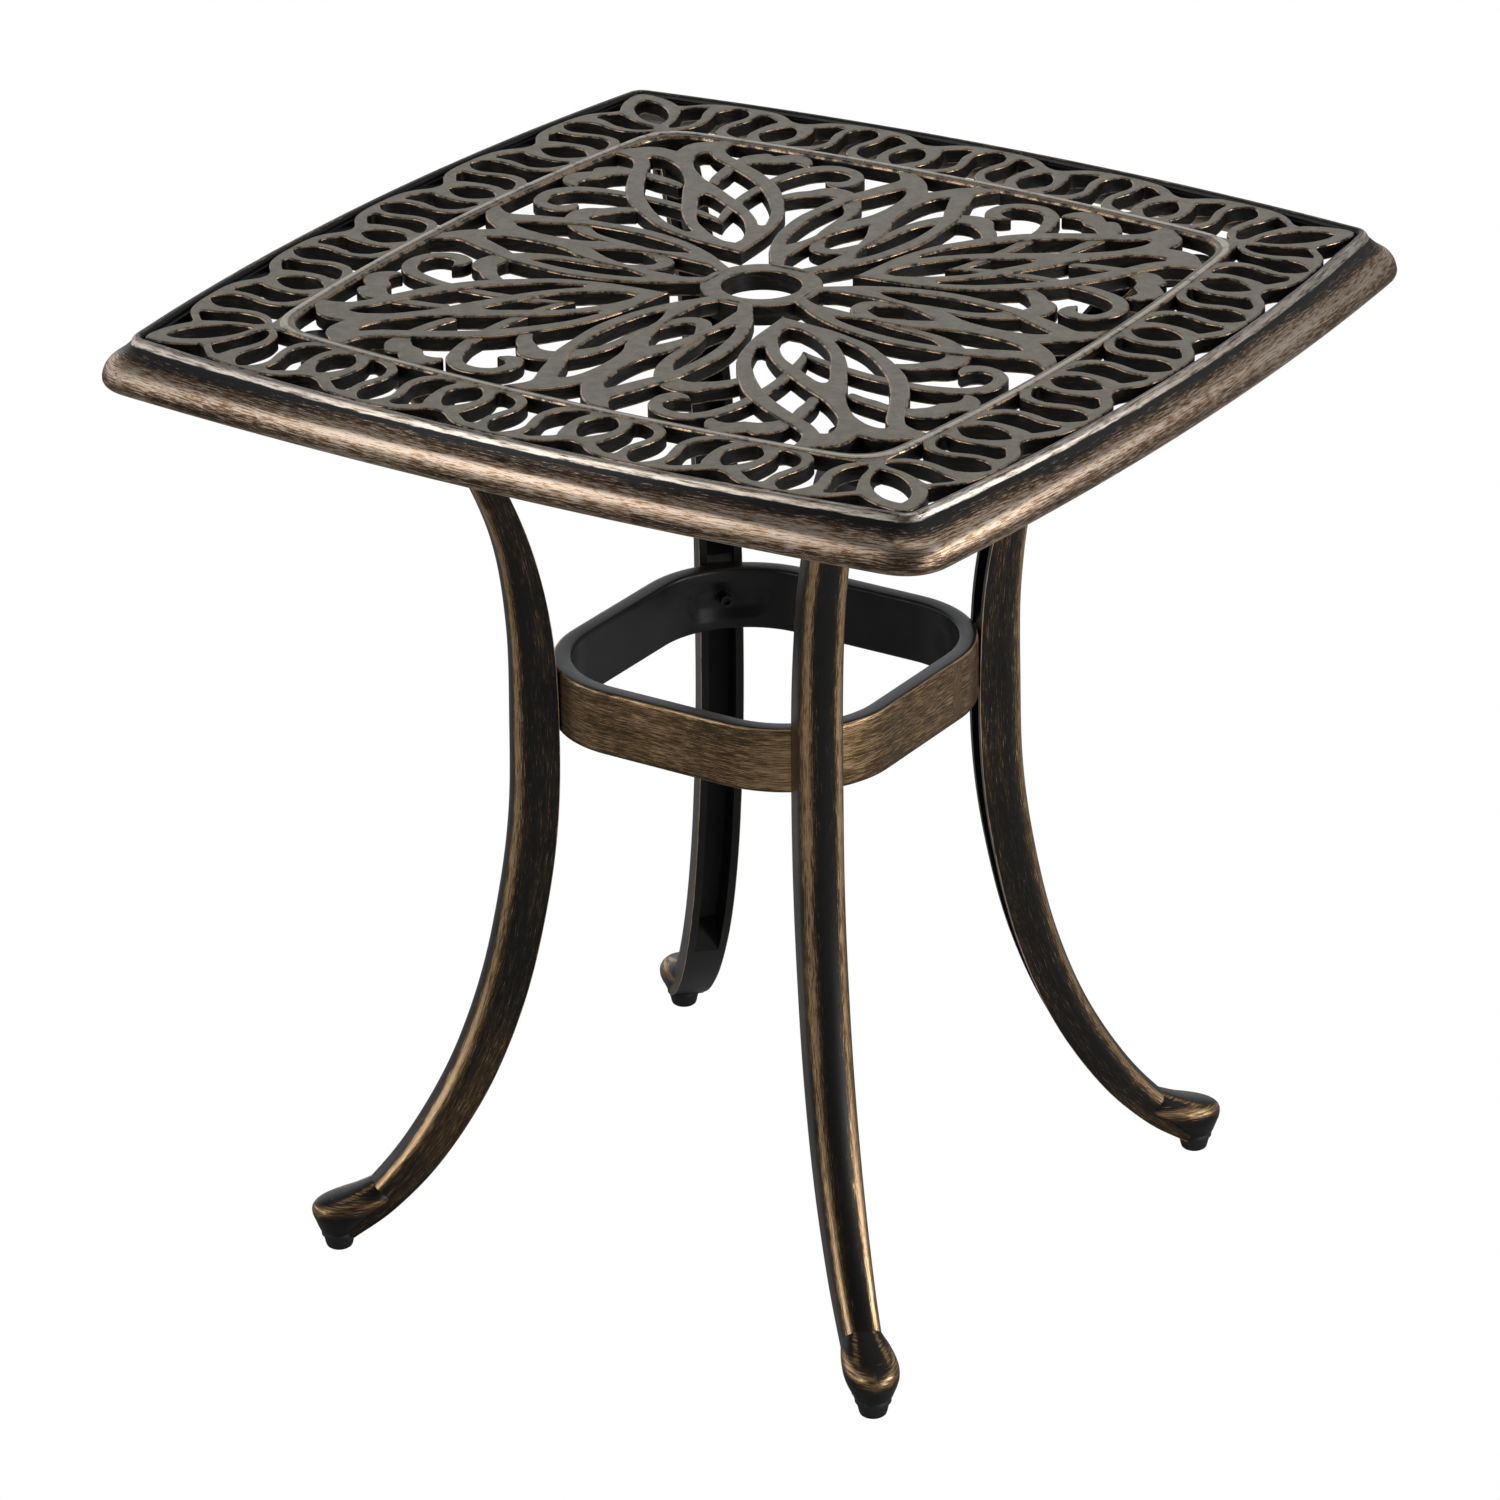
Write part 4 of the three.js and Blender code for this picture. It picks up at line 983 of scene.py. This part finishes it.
def ring_path():
    """Rounded square of (x, y, outward x, outward y) about the ring's corner centres."""
    centre = BRACE_HALF - BRACE_RADIUS
    path = []
    for turns in range(4):
        arc = []
        for i in range(ARC_STEPS + 1):
            a = math.pi / 2 * i / ARC_STEPS
            arc.append((centre, centre, math.cos(a), math.sin(a)))
        for _ in range(turns):
            arc = [(-y, x, -ny, nx) for x, y, nx, ny in arc]
        path.extend(arc)
        x, y, nx, ny = path[-1]
        for i in range(1, STRAIGHT_STEPS):
            along = 2 * centre * i / STRAIGHT_STEPS
            path.append((x - ny * along, y + nx * along, nx, ny))
    return path


def ring_section(length):
    """Section at a distance along the ring from a corner's middle, with the recess round the bolt."""
    inside = []
    for k in range(1, RING_ROWS):
        z = lerp(BRACE_TOP - RING_EDGE, BRACE_LOW + RING_EDGE, k / RING_ROWS)
        past = math.hypot(max(0.0, length - RECESS_HALF), abs(z - BRACE_MIDDLE))
        mask = 1 - step(past, RECESS_FLAT, RECESS_RAMP)
        mask = mask * mask * (3 - 2 * mask)
        inside.append((RING_INSIDE + RECESS_DEPTH * mask, z, 0, 0))
    return RING_OUTSIDE + inside + RING_BASE


def make_ring():
    path = ring_path()
    outside = [(x + nx * BRACE_RADIUS, y + ny * BRACE_RADIUS) for x, y, nx, ny in path]
    rings, flow, paint = [], [], []
    run = 0.0
    for i, (x, y, nx, ny) in enumerate(path):
        angle = math.atan2(outside[i][1], outside[i][0])
        length = abs(angle % (math.pi / 2) - math.pi / 4) * (BRACE_REACH + RING_INSIDE)
        # Painted highlight: rub raised towards the corners
        painted_gleam = 1 + PAINTED_GLEAM * max(0.0, 1 - length / PAINTED_GLEAM_LENGTH)
        section = ring_section(length)
        rings.append([(x + nx * (BRACE_RADIUS + d), y + ny * (BRACE_RADIUS + d), z)
                      for d, z, _, _ in section])
        around = 0.0
        for k, (d, z, rub, wear) in enumerate(section):
            if k:
                around += math.hypot(d - section[k - 1][0], z - section[k - 1][1])
            flow.append((run, around))
            paint.append((rub * painted_gleam, wear))
        run += math.dist(outside[i], outside[(i + 1) % len(path)])
    mesh = fixed(mesh_from(*loft(rings), flow, paint))
    for polygon in mesh.polygons:
        outward = Vector((polygon.center.x, polygon.center.y, 0)).normalized().dot(polygon.normal)
        inside = outward <= 0.1 and abs(polygon.normal.z) <= 0.5
        polygon.material_index = 1 if inside else 0
    add_piece("cast_ring", mesh, [LEG_BRONZE, SATIN], ["ring_brace"], 40)


def finish_bare_nodes():
    """Bolts, washers and any solid that shows as it is."""
    for name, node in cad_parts.items():
        fastener = "bolt" in name or "washer" in name
        if fastener or not node.hide_render:
            node.data.materials.clear()
            node.data.materials.append(STEEL if fastener else SATIN)


# Sides from which the surroundings are dimmed: the camera's, and the one beside the right face
CAMERA_SIDE = (0.546, -0.838, 0)
RIGHT_SIDE = (0.5, 0.866, 0)
FLOOR_HALF, FLOOR_DROP = 30, 0.0005
FLOOR_GREY = (0.5, 0.5, 0.5, 1)

# Lights: name, place, target, size and power
LIGHTS = [
    ("overhead", (0.3, 0.8, 3.2), (0, 0, 0.6), (3, 3), 20),
    ("right", (3.1, -0.35, 0.55), (0, 0, 0.55), (0.8, 1.5), 26),
    ("left", (-1.5, -2.8, 1.75), (0, 0, 0.5), (0.8, 1.9), 17),
    ("side", (2.4, 1.1, 1.2), (0.2, 0, 0.6), (0.5, 0.9), 18),
]

# Camera solved from the photograph: its focal length in pixels of a 1500 pixel square, place and axes
FOCAL, PICTURE, SENSOR = 6075.34, 1500, 36
CAMERA_PLACE = (2.15923, -3.33532, 2.17293)
CAMERA_RIGHT = (0.8407756, 0.5412406, -0.0124505)
CAMERA_UP = (-0.2148443, 0.3546767, 0.9099705)


def seen_and_lit(n, out, seen, lit):
    """What the camera sees is one shader, and what lights the part is another."""
    path = n.tree.nodes.new("ShaderNodeLightPath")
    mix = n.tree.nodes.new("ShaderNodeMixShader")
    n.put(mix.inputs[0], path.outputs["Is Camera Ray"])
    n.put(mix.inputs[1], lit.outputs[0])
    n.put(mix.inputs[2], seen.outputs[0])
    n.put(out.inputs[0], mix.outputs[0])


def make_floor():
    h = FLOOR_HALF
    mesh = bpy.data.meshes.new("floor")
    mesh.from_pydata([(-h, -h, 0), (h, -h, 0), (h, h, 0), (-h, h, 0)], [], [(0, 1, 2, 3)])
    floor = bpy.data.objects.new("floor", mesh)
    floor.location = (0, 0, -FLOOR_DROP)
    bpy.context.scene.collection.objects.link(floor)
    material = bpy.data.materials.new("floor")
    material.use_nodes = True
    n = emptied(material.node_tree)
    glow = n.tree.nodes.new("ShaderNodeEmission")
    glow.inputs["Color"].default_value = (1, 1, 1, 1)
    diffuse = n.tree.nodes.new("ShaderNodeBsdfDiffuse")
    diffuse.inputs["Color"].default_value = FLOOR_GREY
    seen_and_lit(n, n.tree.nodes.new("ShaderNodeOutputMaterial"), glow, diffuse)
    floor.data.materials.append(material)


def make_world():
    world = bpy.data.worlds.new("world")
    world.use_nodes = True
    n = emptied(world.node_tree)
    way = n.tree.nodes.new("ShaderNodeTexCoord").outputs["Generated"]
    opening = n.ramp(n.along(way, CAMERA_SIDE), 0.1, 0.7, 1.0, 0.1)
    shade = n.ramp(n.along(way, RIGHT_SIDE), 0.55, 0.9, 1.0, 0.3)
    height = n.ramp(n.parts(way)[2], 0.38, 0.68, 1.05, 0.15)
    dim = n.tree.nodes.new("ShaderNodeBackground")
    dim.inputs["Color"].default_value = (0.95, 0.97, 1, 1)
    n.put(dim.inputs["Strength"], n.times(n.times(opening, shade), height))
    white = n.tree.nodes.new("ShaderNodeBackground")
    white.inputs["Color"].default_value = (1, 1, 1, 1)
    seen_and_lit(n, n.tree.nodes.new("ShaderNodeOutputWorld"), white, dim)
    bpy.context.scene.world = world


def area_light(name, location, target, size, power):
    data = bpy.data.lights.new(name, "AREA")
    data.shape = "RECTANGLE"
    data.size, data.size_y = size
    data.energy = power
    lamp = bpy.data.objects.new(name, data)
    lamp.location = location
    lamp.rotation_mode = "QUATERNION"
    lamp.rotation_quaternion = (Vector(target) - Vector(location)).to_track_quat("-Z", "Y")
    bpy.context.scene.collection.objects.link(lamp)


def make_camera():
    data = bpy.data.cameras.new("camera")
    data.sensor_width = SENSOR
    data.lens = FOCAL / PICTURE * SENSOR
    data.clip_start, data.clip_end = 0.05, 100
    camera = bpy.data.objects.new("camera", data)
    right, up = Vector(CAMERA_RIGHT), Vector(CAMERA_UP)
    camera.location = CAMERA_PLACE
    camera.rotation_mode = "QUATERNION"
    camera.rotation_quaternion = Matrix((right, up, right.cross(up))).transposed().to_quaternion()
    bpy.context.scene.collection.objects.link(camera)
    bpy.context.scene.camera = camera


make_openwork()
make_rim()
make_legs()
make_glides()
make_ring()
finish_bare_nodes()
make_floor()
make_world()
make_camera()
for light in LIGHTS:
    area_light(*light)

scene = bpy.context.scene
scene.view_settings.view_transform = "Standard"
